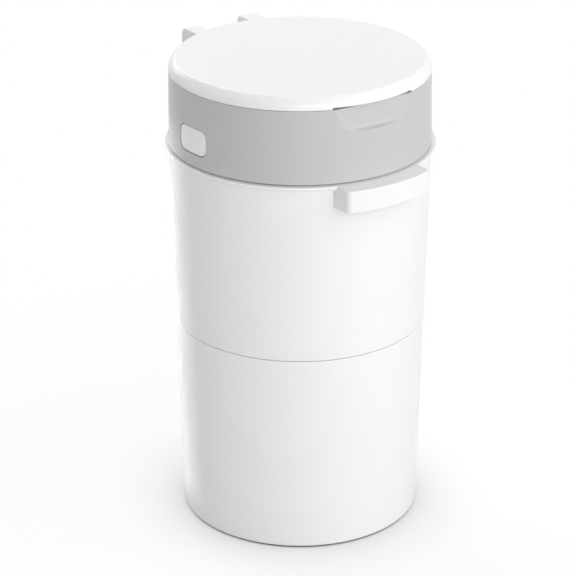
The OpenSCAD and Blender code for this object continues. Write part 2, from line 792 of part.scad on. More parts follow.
// Side profile of the finger recess, as distance in front of the axis and height
module recess_profile(inset, margin) {
    top_y = collar_top_r - recess_top_depth - inset;
    foot_y = collar_top_r - recess_foot_depth - inset;
    foot_z = collar_top_z - recess_h;
    cove = recess_cove_r + inset;
    lean = (top_y - foot_y) / recess_h;
    polygon(concat(
        [[top_y + lean * margin, collar_top_z + margin]],
        arc(foot_y + cove, foot_z, cove, 180, 270, 10),
        [[rim_r + 10, foot_z - cove], [rim_r + 10, collar_top_z + margin]]
    ));
}

// Turns a recess profile into a bar across the front, a little to the left of the grip's middle
module recess_bar(inset, half_w, margin) {
    rotate([0, 0, -recess_turn]) mirror([0, 1, 0]) across(-half_w, half_w) recess_profile(inset, margin);
}

// Collar: tapered wall, deck, well and shelf, with the recess, button frames and lid bracket
module collar() {
    edge = 0.8;
    lip_out_r = rim_r - wall;
    lip_in_r = lip_out_r - collar_lip_t;
    lip_top_z = collar_z + 3;
    color("gainsboro") difference() {
        union() {
            rotate_extrude() polygon(concat(
                [[rim_r, collar_z]],
                arc(collar_top_r - edge, collar_top_z - edge, edge, 0, 90, 4),
                [[well_r, collar_top_z], [well_r, shelf_z],
                 [shelf_in_r, shelf_z], [shelf_in_r, shelf_z - well_wall],
                 [well_r + well_wall, shelf_z - well_wall], [well_r + well_wall, collar_top_z - wall],
                 [collar_top_r - wall, collar_top_z - wall], [lip_out_r, lip_top_z + collar_lip_t],
                 [lip_in_r, lip_top_z], [lip_in_r, ring_top_z + run_gap],
                 [lip_out_r, ring_top_z + run_gap], [lip_out_r, collar_z]]
            ));
            intersection() {
                recess_bar(wall, recess_half_w, -eps);
                difference() {
                    cylinder(h = collar_top_z - eps, r = collar_top_r - 1);
                    cylinder(h = collar_top_z, r = well_r + eps);
                }
            }
            for (side = [LEFT, RIGHT]) on_side(side) button_frame();
            for (a = boss_angles) rotate([0, 0, a]) collar_boss();
            lid_bracket();
        }
        recess_bar(0, recess_half_w + 10, 5);
        for (side = [LEFT, RIGHT]) on_side(side) button_hole();
        for (a = boss_angles) rotate([0, 0, a]) translate([boss_pitch_r, 0, ring_top_z - 1])
            cylinder(h = boss_h - 1, r = screw_r + pin_clearance);
        translate([0, lid_pin_y, lid_pin_z]) rod_x(lid_pin_r + pin_clearance, -lug_x, lug_x);
    }
}

// Hole in the collar for a button, with a gap all round
module button_hole() {
    button_bar(button_w + 2 * button_gap, button_h + 2 * button_gap, button_corner_r + button_gap,
        button_back_x - 3, ring_r);
}

// Frame inside the collar that guides a button and stops its latch plate
module button_frame() {
    intersection() {
        difference() {
            button_bar(button_w + 2 * frame_margin, button_h + 2 * frame_margin,
                button_corner_r + frame_margin, button_back_x + run_gap, ring_r);
            button_hole();
        }
        cylinder(h = collar_top_z, r = collar_top_r - 1);
    }
}

// Screw boss inside the collar, with a web to the wall
module collar_boss() {
    web_t = 2.4;
    translate([boss_pitch_r, 0, ring_top_z]) cylinder(h = boss_h, r = boss_r);
    translate([boss_pitch_r, -web_t / 2, collar_z])
        cube([rim_r - wall - boss_pitch_r + 1, web_t, boss_h - collar_gap]);
}

// Bracket behind the collar that carries the lid's pin between the lugs
module lid_bracket() {
    half = lug_x - lug_w / 2 - 1;
    knuckle = lug_r - 0.7;
    root_y = collar_top_r - 9;
    root_z = lid_pin_z - 16;
    top_drop = 1.2;
    difference() {
        across(-half, half) union() {
            translate([lid_pin_y, lid_pin_z]) circle(r = knuckle);
            polygon([
                [root_y, root_z], [lid_pin_y, lid_pin_z - knuckle],
                [lid_pin_y, lid_pin_z + knuckle - top_drop], [root_y, collar_top_z - top_drop]
            ]);
        }
        translate([0, 0, collar_z]) cylinder(h = collar_h + 1, r = collar_top_r - wall + 0.6);
    }
}

// Pin of the lid's hinge, with its ends in the blind bores of the lugs
module lid_hinge_pin() {
    color("silver") translate([0, lid_pin_y, lid_pin_z]) rod_x(lid_pin_r, -lid_pin_end_x, lid_pin_end_x);
}

// Opening of the throat: a round hole cut straight at the front and the rear
module throat_hole(r, chord) {
    intersection() {
        circle(r = r);
        square([3 * r, 2 * chord], center = true);
    }
}

// Funnel: flange on the shelf, slope, throat tube and the flange that carries the flap hinges
module throat_funnel() {
    flange_r = throat_r + throat_flange_w;
    color("white") difference() {
        union() {
            rotate_extrude() polygon([
                [throat_r, throat_flange_z], [flange_r, throat_flange_z],
                [flange_r, throat_foot_z], [throat_r + funnel_wall, throat_foot_z + eps],
                [throat_r + funnel_wall, throat_top_z - 1],
                [funnel_lip_r + 2, shelf_z - 1], [funnel_lip_r + 4, shelf_z], [funnel_r, shelf_z],
                [funnel_r, funnel_top_z], [funnel_lip_r + 1, funnel_top_z],
                [funnel_lip_r - 1, funnel_top_z - 1],
                [throat_r + 1.5, throat_top_z + 1.5], [throat_r, throat_top_z - 1]
            ]);
            translate([0, 0, throat_flange_z]) linear_extrude(funnel_wall) difference() {
                circle(r = throat_r + 1);
                throat_hole(throat_r, throat_chord_y);
            }
            for (end = [FRONT, REAR], side = [LEFT, RIGHT]) at_end(end) on_side(side) flap_ear();
        }
        for (end = [FRONT, REAR]) at_end(end) translate([0, flap_pin_y, flap_pin_z])
            rod_x(flap_pin_r + pin_clearance, -flap_ear_x - flap_ear_w, flap_ear_x + flap_ear_w);
    }
}

// Ear under the throat's flange that holds one end of a flap pin
module flap_ear() {
    ear_depth = 6.2;
    across(flap_ear_x - flap_ear_w / 2, flap_ear_x + flap_ear_w / 2) union() {
        translate([flap_pin_y, flap_pin_z]) circle(r = flap_knuckle_r, $fn = 48);
        translate([flap_pin_y + flap_knuckle_r - ear_depth, flap_pin_z])
            square([ear_depth, throat_flange_z + 0.5 - flap_pin_z]);
    }
}

// Rubber seal under the throat that the flaps close on
module throat_seal() {
    proud = 0.6;
    color("dimgray") translate([0, 0, throat_flange_z - throat_seal_t])
        linear_extrude(throat_seal_t) difference() {
            throat_hole(flap_r + proud, flap_chord_y + proud);
            throat_hole(flap_r + proud - throat_seal_w, flap_chord_y + proud - throat_seal_w);
        }
}

// Pin of one flap
module flap_pin(end) {
    pin_end_x = flap_ear_x + flap_ear_w / 2 + 0.5;
    color("silver") at_end(end) translate([0, flap_pin_y, flap_pin_z])
        rod_x(flap_pin_r, -pin_end_x, pin_end_x);
}

// Half-moon flap with two knuckles, a turned-down middle edge and stiffening ribs
module flap(end) {
    rib_h = 4;
    rib_t = 1.6;
    under_z = flap_top_z - flap_t;
    color("lightgray") at_end(end) difference() {
        union() {
            translate([0, 0, under_z]) linear_extrude(flap_t) intersection() {
                circle(r = flap_r);
                translate([-flap_r, flap_middle_gap]) square([2 * flap_r, flap_chord_y - flap_middle_gap]);
            }
            for (x = [-flap_knuckle_x, flap_knuckle_x])
                across(x - flap_knuckle_w / 2, x + flap_knuckle_w / 2) union() {
                    translate([flap_pin_y, flap_pin_z]) circle(r = flap_knuckle_r, $fn = 48);
                    polygon([
                        [flap_chord_y - 12, under_z + eps], [flap_chord_y, under_z + eps],
                        [flap_pin_y, flap_pin_z + flap_knuckle_r - 0.3],
                        [flap_pin_y, flap_pin_z - flap_knuckle_r]
                    ]);
                }
            for (x = [-flap_knuckle_x, 0, flap_knuckle_x])
                translate([x - rib_t / 2, 8, under_z - rib_h])
                    cube([rib_t, flap_chord_y - 22, rib_h + 0.5]);
            translate([-flap_r + 6, flap_middle_gap + 1.5, under_z - rib_h])
                cube([2 * flap_r - 12, rib_t, rib_h + 0.5]);
        }
        translate([0, flap_pin_y, flap_pin_z]) rod_x(flap_pin_r + pin_clearance, -flap_r, flap_r);
    }
}

// Torsion spring on one flap pin: a coil with a leg under the flap and a leg against the flange
function coil_points() = let (n = 8 * coil_turns, half = coil_turns * coil_pitch / 2) concat(
    [[-half - 0.2, -14, 0.2], [-half - 0.1, -7, -1.2]],
    [for (i = [0:n]) [-half + coil_pitch * i / 8, coil_r * sin(45 * i), -coil_r * cos(45 * i)]],
    [[half + 0.1, 4, -1.6], [half + 0.2, 5.2, 4.6]]
);

// The torsion spring in its place
module flap_spring(end) {
    color("silver") at_end(end) translate([0, flap_pin_y, flap_pin_z])
        swept_wire(coil_points(), coil_wire / 2);
}

// Compression spring of one button, a plain coil along X
module button_spring(side) {
    r = button_spring_r - button_wire / 2;
    n = 8 * button_spring_turns;
    l = button_spring_l - button_wire - run_gap;
    color("silver") on_side(side) translate([spring_wall_x + button_wire / 2 + 0.1, 0, button_z])
        swept_wire([for (i = [0:n]) [l * i / n, r * sin(45 * i), r * cos(45 * i)]], button_wire / 2);
}

// Cap of one button, following the collar's round wall
module button(side) {
    color("white") on_side(side) difference() {
        intersection() {
            button_bar(button_w, button_h, button_corner_r, button_back_x, ring_r);
            cylinder(h = collar_top_z, r = button_face_r);
        }
        intersection() {
            button_bar(button_w - 2 * button_wall, button_h - 2 * button_wall,
                button_corner_r - button_wall, button_back_x - 1, ring_r);
            cylinder(h = collar_top_z, r = button_face_r - button_wall);
        }
    }
}

// Latch of one button: plate, spring peg, arm through the ring and nose under the catch
module latch(side) {
    arm_foot_z = nose_top_z - nose_h;
    plate_foot_z = button_z - latch_plate_h / 2;
    peg_l = 3;
    color("lightgray") on_side(side) {
        button_bar(latch_plate_w, latch_plate_h, button_corner_r, latch_plate_x, button_back_x);
        translate([0, 0, button_z]) rod_x(spring_peg_r, latch_plate_x - peg_l, latch_plate_x + eps);
        translate([arm_x - latch_t, -latch_w / 2, arm_foot_z])
            cube([latch_t, latch_w, plate_foot_z + 6 - arm_foot_z]);
        translate([arm_x - latch_t, -latch_w / 2, plate_foot_z])
            cube([button_back_x - arm_x + latch_t, latch_w, 4]);
        across_y(-latch_w / 2, latch_w) polygon([
            [arm_x - eps, arm_foot_z], [arm_x + 0.6, arm_foot_z], [nose_x, nose_top_z - 1.2],
            [nose_x, nose_top_z], [arm_x - eps, nose_top_z]
        ]);
    }
}

// Points up the lid's curved edge, moved square to it by an inset, up to a share of its height
function lid_edge(inset, share) = [for (i = [0:10]) let (
    t = share * i / 10,
    slope = lid_edge_w * lid_edge_bend * pow(t, lid_edge_bend - 1) / lid_h,
    len = sqrt(1 + slope * slope)
) [collar_top_r - lid_edge_w * pow(t, lid_edge_bend) - inset / len, lid_z + lid_h * t - inset * slope / len]];

// Lid: flat top with a curved edge, finger notch, liner bosses and two hinge lugs
module lid_shell() {
    under_share = 0.94;
    liner_boss_r = 3.5;
    pin_hole_x = lid_pin_end_x + run_gap;
    color("white") difference() {
        union() {
            difference() {
                rotate_extrude($fn = 180) polygon(concat(
                    [[0, lid_z]], lid_edge(0, 1), [[0, lid_top_z]]
                ));
                rotate_extrude($fn = 180) polygon(concat(
                    [[0, lid_z - 1], [collar_top_r - lid_wall, lid_z - 1]],
                    lid_edge(lid_wall, under_share),
                    [[0, lid_top_z - lid_wall]]
                ));
            }
            translate([0, 0, lid_z + notch_h]) linear_extrude(lid_wall) intersection() {
                difference() {
                    circle(r = collar_top_r - 1);
                    circle(r = well_r);
                }
                turned_wedge(notch_angle + 2);
            }
            for (i = [0:liner_boss_count - 1]) rotate([0, 0, 360 / liner_boss_count * (i + 0.5)])
                translate([liner_boss_pitch_r, 0, liner_z + liner_t])
                    cylinder(h = lid_top_z - 1 - liner_z - liner_t, r = liner_boss_r);
            for (side = [LEFT, RIGHT]) on_side(side) lid_lug();
        }
        translate([0, 0, lid_z - 1]) linear_extrude(notch_h + 1) difference() {
            turned_wedge(notch_angle);
            circle(r = well_r);
        }
        translate([0, lid_pin_y, lid_pin_z]) rod_x(lid_pin_r + pin_clearance, -pin_hole_x, pin_hole_x);
    }
}

// Wedge of the finger notch, turned with the finger recess
module turned_wedge(half_angle) {
    rotate([0, 0, -recess_turn]) front_wedge(ring_r * 1.2, half_angle);
}

// Hinge lug on the right of the lid
module lid_lug() {
    corner = lug_r - 1;
    rear_y = lid_pin_y + lug_r;
    root_y = collar_top_r - 13;
    top = lid_top_z - 0.5;
    across(lug_x - lug_w / 2, lug_x + lug_w / 2) union() {
        translate([lid_pin_y, lid_pin_z]) circle(r = lug_r);
        polygon(concat(
            [[lid_pin_y, lid_pin_z], [rear_y, lid_pin_z]],
            arc(rear_y - corner, top - corner, corner, 0, 90, 6),
            [[root_y, top], [root_y, lid_top_z - lid_wall], [root_y + 4, lid_z],
             [lid_pin_y - lug_r + 0.4, lid_z]]
        ));
    }
}

// Liner plate under the lid, with a raised edge that holds the seal
module lid_liner() {
    rib_out = lid_seal_in_r - 0.1;
    rib_in = rib_out - 1.3;
    rib_h = 1.4;
    color("whitesmoke") rotate_extrude() polygon([
        [0, liner_z], [rib_in, liner_z], [rib_in, liner_z - rib_h],
        [rib_out, liner_z - rib_h], [rib_out, liner_z], [liner_r, liner_z],
        [liner_r, liner_z + liner_t], [0, liner_z + liner_t]
    ]);
}

// Rubber ring that the lid closes on the funnel with
module lid_seal() {
    foot = liner_z - lid_seal_h;
    edge_w = 2.5;
    edge_h = 1.2;
    color("dimgray") rotate_extrude() polygon([
        [lid_seal_in_r, liner_z], [lid_seal_in_r, foot + edge_h], [lid_seal_in_r + edge_w, foot],
        [lid_seal_out_r - edge_w, foot], [lid_seal_out_r, foot + edge_h], [lid_seal_out_r, liner_z]
    ]);
}

lower_body();
upper_body();
body_seal();
grip_feet();
bag_ring_seat();
bag_ring();
hinge_bracket();
bracket_screws();
head_hinge_pin();
pin_retainer();
rim_ring();
rim_seal();
collar();
head_screws();
throat_funnel();
throat_seal();
flap_pin(FRONT);  // front_flap_pin
flap_pin(REAR);  // rear_flap_pin
flap_spring(FRONT);  // front_flap_spring
flap_spring(REAR);  // rear_flap_spring
button_spring(LEFT);  // left_button_spring
button_spring(RIGHT);  // right_button_spring
lid_hinge_pin();
lid_shell();
lid_liner();
lid_seal();
flap(FRONT);  // front_flap
flap(REAR);  // rear_flap
button(LEFT);  // left_button
latch(LEFT);  // left_latch
button(RIGHT);  // right_button
latch(RIGHT);  // right_latch
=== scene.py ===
# %% [markdown]
# # A nappy bin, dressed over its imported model
# The real bin is moulded white plastic with one grey collar. Its look comes from very even, satin surfaces,
# so the shapes have to be exact and the finishes quiet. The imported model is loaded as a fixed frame, and
# every visible piece is then modelled again on top of it with softer edges and finer curves.

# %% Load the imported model
import math

import bmesh
import bpy
from mathutils import Matrix, Vector


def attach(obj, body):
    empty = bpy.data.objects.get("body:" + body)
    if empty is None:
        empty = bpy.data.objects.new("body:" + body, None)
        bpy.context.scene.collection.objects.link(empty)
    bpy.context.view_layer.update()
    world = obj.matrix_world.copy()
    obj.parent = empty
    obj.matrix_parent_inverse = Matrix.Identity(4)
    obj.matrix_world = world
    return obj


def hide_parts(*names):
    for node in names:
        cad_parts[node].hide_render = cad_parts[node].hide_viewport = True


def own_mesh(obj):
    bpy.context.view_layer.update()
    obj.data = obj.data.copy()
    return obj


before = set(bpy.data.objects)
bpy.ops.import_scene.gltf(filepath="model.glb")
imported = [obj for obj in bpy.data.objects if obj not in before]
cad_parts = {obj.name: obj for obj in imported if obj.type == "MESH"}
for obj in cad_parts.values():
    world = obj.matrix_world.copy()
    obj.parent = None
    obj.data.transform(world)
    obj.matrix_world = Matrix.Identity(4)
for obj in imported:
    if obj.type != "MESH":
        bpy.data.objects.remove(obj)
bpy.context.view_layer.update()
MM = 0.001

# %% [markdown]
# ## The view of the photograph
# The photograph was fitted with three level circles of the bin: the lid's seam, the rim and the foot. They
# give a long lens from 24 degrees above, with the bin's front turned 36.5 degrees to the right. A small
# sideways shift of the lens puts the bin as far right of the middle as it stands in the photograph.

# %% Camera
def direction(azimuth, elevation):
    """Unit vector towards a point seen at that azimuth and elevation. Azimuth 0 is straight in front."""
    a, e = math.radians(azimuth), math.radians(elevation)
    return Vector((math.sin(a) * math.cos(e), -math.cos(a) * math.cos(e), math.sin(e)))


def aimed(target, azimuth, elevation, distance):
    """Matrix of a camera or lamp at that distance from the target, looking at it."""
    away = direction(azimuth, elevation)
    return Matrix.Translation(target + away * distance) @ away.to_track_quat("Z", "Y").to_matrix().to_4x4()


camera_azimuth = -36.5
camera_data = bpy.data.cameras.new("camera")
camera_data.lens = 159.5
camera_data.sensor_width = 36
camera_data.shift_x = -0.0209
camera = bpy.data.objects.new("camera", camera_data)
camera.matrix_world = aimed(Vector((0, 0, 226.9 * MM)), camera_azimuth, 23.79, 2.521)
bpy.context.scene.collection.objects.link(camera)
bpy.context.scene.camera = camera
bpy.context.scene.view_settings.view_transform = "Standard"
print("camera at", tuple(round(v, 3) for v in camera.location))

# %% [markdown]
# ## Light
# A white object on a white ground needs light with a direction, or its roundness is lost. One large soft
# lamp stands low in front, a little to the right, and a second one far to the right, so the left side of the
# bin falls off into light grey. Weaker lamps on the left, behind and above keep that grey light. A narrow
# beam from behind brightens the body's left edge alone, as in the photograph. The world adds the rest.

# %% Lamps and world
def soft_lamp(name, azimuth, elevation, distance, size, watts):
    """A square area lamp aimed at the middle of the bin. Azimuth counts from the camera, to the right."""
    data = bpy.data.lights.new(name, "AREA")
    data.shape = "SQUARE"
    data.size = size
    data.energy = watts
    lamp = bpy.data.objects.new(name, data)
    lamp.matrix_world = aimed(Vector((0, 0, 0.25)), camera_azimuth + azimuth, elevation, distance)
    bpy.context.scene.collection.objects.link(lamp)
    print(name, watts, "W")
    return lamp


soft_lamp("key_lamp", 19, 8, 2.5, 2.4, 43)
soft_lamp("right_lamp", 75, 30, 2.5, 2.4, 23)
soft_lamp("back_lamp", -150, 30, 2.2, 1.4, 13)
soft_lamp("left_lamp", -95, 8, 2.2, 1.4, 6)
soft_lamp("top_lamp", 180, 60, 2.5, 2.4, 17)
edge_lamp = soft_lamp("edge_lamp", -143, 0, 0.32, 0.03, 0.04)
edge_lamp.location += direction(camera_azimuth - 53, 0) * 0.112 - Vector((0, 0, 0.035))
edge_lamp.data.shape = "RECTANGLE"
edge_lamp.data.size_y = 0.39
edge_lamp.data.spread = math.radians(8)


def add_node(tree, kind, **values):
    """A shader node with the given inputs set. An underscore in an input's name stands for a space."""
    node = tree.nodes.new(kind)
    for name, value in values.items():
        if name[0].islower():
            setattr(node, name, value)
        else:
            node.inputs[name.replace("_", " ")].default_value = value
    return node


def seen_directly(tree):
    """A value that is 1 for what the camera sees, directly, in a gloss or through glass."""
    path = add_node(tree, "ShaderNodeLightPath")
    both = add_node(tree, "ShaderNodeMath", operation="MAXIMUM")
    every = add_node(tree, "ShaderNodeMath", operation="MAXIMUM")
    tree.links.new(path.outputs["Is Camera Ray"], both.inputs[0])
    tree.links.new(path.outputs["Is Glossy Ray"], both.inputs[1])
    tree.links.new(both.outputs[0], every.inputs[0])
    tree.links.new(path.outputs["Is Transmission Ray"], every.inputs[1])
    return every.outputs[0]


world = bpy.data.worlds.new("studio")
world.use_nodes = True
bpy.context.scene.world = world
tree = world.node_tree
tree.nodes.clear()
even_light = add_node(tree, "ShaderNodeBackground", Color=(1, 1, 1, 1), Strength=0.40)
white_sky = add_node(tree, "ShaderNodeBackground", Color=(1, 1, 1, 1), Strength=1.0)
world_mix = add_node(tree, "ShaderNodeMixShader")
world_out = add_node(tree, "ShaderNodeOutputWorld")
tree.links.new(seen_directly(tree), world_mix.inputs["Fac"])
tree.links.new(even_light.outputs[0], world_mix.inputs[1])
tree.links.new(white_sky.outputs[0], world_mix.inputs[2])
tree.links.new(world_mix.outputs[0], world_out.inputs["Surface"])

# %% [markdown]
# ## Floor
# The floor is one large disc. Close to the bin it is matt white and takes the bin's real soft shadow, and a
# painted contact shadow from an ambient occlusion node darkens its white lift round the bin's foot. Further
# out it fades into plain white for the camera, so that there is no edge and no horizon in any view. Seen
# from below it is clear, so that the bin's underside can be looked at.

# %% Floor
floor_shape = bmesh.new()
bmesh.ops.create_circle(floor_shape, cap_ends=True, segments=64, radius=20)
floor_mesh = bpy.data.meshes.new("floor")
floor_shape.to_mesh(floor_mesh)
floor_shape.free()
floor = bpy.data.objects.new("floor", floor_mesh)
bpy.context.scene.collection.objects.link(floor)

floor_paint = bpy.data.materials.new("floor_white")
floor_paint.use_nodes = True
tree = floor_paint.node_tree
tree.nodes.clear()
seen = seen_directly(tree)
matt = add_node(tree, "ShaderNodeBsdfDiffuse")
matt_seen = add_node(tree, "ShaderNodeMix", data_type="RGBA", A=(0.5, 0.5, 0.5, 1), B=(0.3, 0.3, 0.3, 1))
lift = add_node(tree, "ShaderNodeEmission", Color=(1, 1, 1, 1))
# Painted contact shadow: the floor's ambient occlusion lowers its white lift, even below zero, close to the bin's
# foot, for what is seen directly
painted_shadow_ao = add_node(tree, "ShaderNodeAmbientOcclusion", samples=16, Distance=0.10)
closed = add_node(tree, "ShaderNodeMath", operation="SUBTRACT")
closed.inputs[0].default_value = 1.0
painted_shadow_depth = add_node(tree, "ShaderNodeMath", operation="POWER")
painted_shadow_depth.inputs[1].default_value = 2.0
lift_under_painted_shadow = add_node(tree, "ShaderNodeMapRange", From_Min=0.0, From_Max=1.0, To_Min=0.70, To_Max=-0.20)
lift_seen = add_node(tree, "ShaderNodeMath", operation="MULTIPLY")
lifted = add_node(tree, "ShaderNodeAddShader")
plain_white = add_node(tree, "ShaderNodeEmission", Color=(1, 1, 1, 1), Strength=1.0)
place = add_node(tree, "ShaderNodeTexCoord")
distance = add_node(tree, "ShaderNodeVectorMath", operation="LENGTH")
fade = add_node(tree, "ShaderNodeMapRange", interpolation_type="SMOOTHSTEP",
                From_Min=0.30, From_Max=0.70, To_Min=0.0, To_Max=1.0)
fade_seen = add_node(tree, "ShaderNodeMath", operation="MULTIPLY")
floor_mix = add_node(tree, "ShaderNodeMixShader")
floor_out = add_node(tree, "ShaderNodeOutputMaterial")
tree.links.new(seen, matt_seen.inputs["Factor"])
tree.links.new(matt_seen.outputs["Result"], matt.inputs["Color"])
tree.links.new(painted_shadow_ao.outputs["AO"], closed.inputs[1])
tree.links.new(closed.outputs[0], painted_shadow_depth.inputs[0])
tree.links.new(painted_shadow_depth.outputs[0], lift_under_painted_shadow.inputs["Value"])
tree.links.new(lift_under_painted_shadow.outputs["Result"], lift_seen.inputs[1])
tree.links.new(place.outputs["Object"], distance.inputs[0])
tree.links.new(distance.outputs["Value"], fade.inputs["Value"])
tree.links.new(fade.outputs["Result"], fade_seen.inputs[0])
tree.links.new(seen, fade_seen.inputs[1])
tree.links.new(seen, lift_seen.inputs[0])
tree.links.new(lift_seen.outputs[0], lift.inputs["Strength"])
tree.links.new(matt.outputs[0], lifted.inputs[0])
tree.links.new(lift.outputs[0], lifted.inputs[1])
tree.links.new(fade_seen.outputs[0], floor_mix.inputs["Fac"])
tree.links.new(lifted.outputs[0], floor_mix.inputs[1])
tree.links.new(plain_white.outputs[0], floor_mix.inputs[2])
from_below = add_node(tree, "ShaderNodeNewGeometry")
clear = add_node(tree, "ShaderNodeBsdfTransparent")
side_mix = add_node(tree, "ShaderNodeMixShader")
tree.links.new(from_below.outputs["Backfacing"], side_mix.inputs["Fac"])
tree.links.new(floor_mix.outputs[0], side_mix.inputs[1])
tree.links.new(clear.outputs[0], side_mix.inputs[2])
tree.links.new(side_mix.outputs[0], floor_out.inputs["Surface"])
floor_mesh.materials.append(floor_paint)

# %% [markdown]
# ## Shared effects
# Moulded plastic isn't one flat colour. The melt leaves faint clouds, the tool's skin leaves a fine grain,
# and hands polish the edges a little. These three effects are node groups, built once and used with other
# numbers in each finish.

# %% Node group helper
def new_group(name, inputs, outputs):
    """An empty shader node group with those sockets. Returns the tree and its input and output nodes."""
    group = bpy.data.node_groups.new(name, "ShaderNodeTree")
    for title, kind, value in inputs:
        socket = group.interface.new_socket(name=title, in_out="INPUT", socket_type=kind)
        socket.default_value = value
    for title, kind in outputs:
        group.interface.new_socket(name=title, in_out="OUTPUT", socket_type=kind)
    return group, group.nodes.new("NodeGroupInput"), group.nodes.new("NodeGroupOutput")


COLOUR, NUMBER = "NodeSocketColor", "NodeSocketFloat"

# %% Faint clouds in the colour and the gloss
clouds, inside, outside = new_group(
    "melt_clouds",
    [("Colour", COLOUR, (1, 1, 1, 1)), ("Depth", NUMBER, 0.02), ("Scale", NUMBER, 20.0),
     ("Roughness low", NUMBER, 0.3), ("Roughness high", NUMBER, 0.4)],
    [("Colour", COLOUR), ("Roughness", NUMBER)])
where = add_node(clouds, "ShaderNodeTexCoord")
cloud = add_node(clouds, "ShaderNodeTexNoise", Detail=5.0, Roughness=0.55)
darken = add_node(clouds, "ShaderNodeMapRange", From_Min=0.3, From_Max=0.7, To_Min=1.0, To_Max=0.0)
amount = add_node(clouds, "ShaderNodeMath", operation="MULTIPLY")
value = add_node(clouds, "ShaderNodeMath", operation="SUBTRACT")
value.inputs[0].default_value = 1.0
tint = add_node(clouds, "ShaderNodeVectorMath", operation="SCALE")
gloss = add_node(clouds, "ShaderNodeTexNoise", Detail=4.0)
gloss_scale = add_node(clouds, "ShaderNodeMath", operation="MULTIPLY")
gloss_scale.inputs[1].default_value = 3.1
gloss_range = add_node(clouds, "ShaderNodeMapRange", From_Min=0.35, From_Max=0.65)
links = clouds.links
links.new(where.outputs["Object"], cloud.inputs["Vector"])
links.new(inside.outputs["Scale"], cloud.inputs["Scale"])
links.new(cloud.outputs["Fac"], darken.inputs["Value"])
links.new(darken.outputs["Result"], amount.inputs[0])
links.new(inside.outputs["Depth"], amount.inputs[1])
links.new(amount.outputs[0], value.inputs[1])
links.new(inside.outputs["Colour"], tint.inputs[0])
links.new(value.outputs[0], tint.inputs["Scale"])
links.new(tint.outputs[0], outside.inputs["Colour"])
links.new(inside.outputs["Scale"], gloss_scale.inputs[0])
links.new(where.outputs["Object"], gloss.inputs["Vector"])
links.new(gloss_scale.outputs[0], gloss.inputs["Scale"])
links.new(gloss.outputs["Fac"], gloss_range.inputs["Value"])
links.new(inside.outputs["Roughness low"], gloss_range.inputs["To Min"])
links.new(inside.outputs["Roughness high"], gloss_range.inputs["To Max"])
links.new(gloss_range.outputs["Result"], outside.inputs["Roughness"])

# %% Fine grain of the tool's skin
grain, inside, outside = new_group(
    "tool_grain", [("Scale", NUMBER, 900.0), ("Wave", NUMBER, 0.3)], [("Height", NUMBER)])
where = add_node(grain, "ShaderNodeTexCoord")
pebble = add_node(grain, "ShaderNodeTexNoise", Detail=3.0, Roughness=0.6)
swell = add_node(grain, "ShaderNodeTexNoise", Scale=60.0, Detail=1.0)
swell_part = add_node(grain, "ShaderNodeMath", operation="MULTIPLY")
height = add_node(grain, "ShaderNodeMath", operation="ADD")
links = grain.links
links.new(where.outputs["Object"], pebble.inputs["Vector"])
links.new(inside.outputs["Scale"], pebble.inputs["Scale"])
links.new(where.outputs["Object"], swell.inputs["Vector"])
links.new(swell.outputs["Fac"], swell_part.inputs[0])
links.new(inside.outputs["Wave"], swell_part.inputs[1])
links.new(pebble.outputs["Fac"], height.inputs[0])
links.new(swell_part.outputs[0], height.inputs[1])
links.new(height.outputs[0], outside.inputs["Height"])

# %% Rubbed edges
rubbed, inside, outside = new_group(
    "rubbed_edges",
    [("Colour", COLOUR, (1, 1, 1, 1)), ("Rubbed colour", COLOUR, (1, 1, 1, 1)), ("Amount", NUMBER, 0.5)],
    [("Colour", COLOUR), ("Mask", NUMBER)])
where = add_node(rubbed, "ShaderNodeTexCoord")
shape = add_node(rubbed, "ShaderNodeNewGeometry")
edge = add_node(rubbed, "ShaderNodeMapRange", From_Min=0.55, From_Max=0.65)
patch = add_node(rubbed, "ShaderNodeTexNoise", Scale=90.0, Detail=4.0)
patch_range = add_node(rubbed, "ShaderNodeMapRange", From_Min=0.35, From_Max=0.62)
mask = add_node(rubbed, "ShaderNodeMath", operation="MULTIPLY")
strength = add_node(rubbed, "ShaderNodeMath", operation="MULTIPLY")
blend = add_node(rubbed, "ShaderNodeMix", data_type="RGBA")
links = rubbed.links
links.new(shape.outputs["Pointiness"], edge.inputs["Value"])
links.new(where.outputs["Object"], patch.inputs["Vector"])
links.new(patch.outputs["Fac"], patch_range.inputs["Value"])
links.new(edge.outputs["Result"], mask.inputs[0])
links.new(patch_range.outputs["Result"], mask.inputs[1])
links.new(mask.outputs[0], strength.inputs[0])
links.new(inside.outputs["Amount"], strength.inputs[1])
links.new(strength.outputs[0], blend.inputs["Factor"])
links.new(inside.outputs["Colour"], blend.inputs["A"])
links.new(inside.outputs["Rubbed colour"], blend.inputs["B"])
links.new(blend.outputs["Result"], outside.inputs["Colour"])
links.new(strength.outputs[0], outside.inputs["Mask"])

# %% [markdown]
# ## Finishes
# Each moulding has its own resin and its own skin. The shells are satin, the inner parts a little duller,
# the collar is grey through and through. Rubber is darker and matt, and the pins, screws and springs are
# steel with fine turning marks.

# %% Moulded plastic
def grey(level):
    """An even grey from a screen level between 0 and 255."""
    share = level / 255
    linear = share / 12.92 if share <= 0.04045 else ((share + 0.055) / 1.055) ** 2.4
    return (linear, linear, linear, 1)


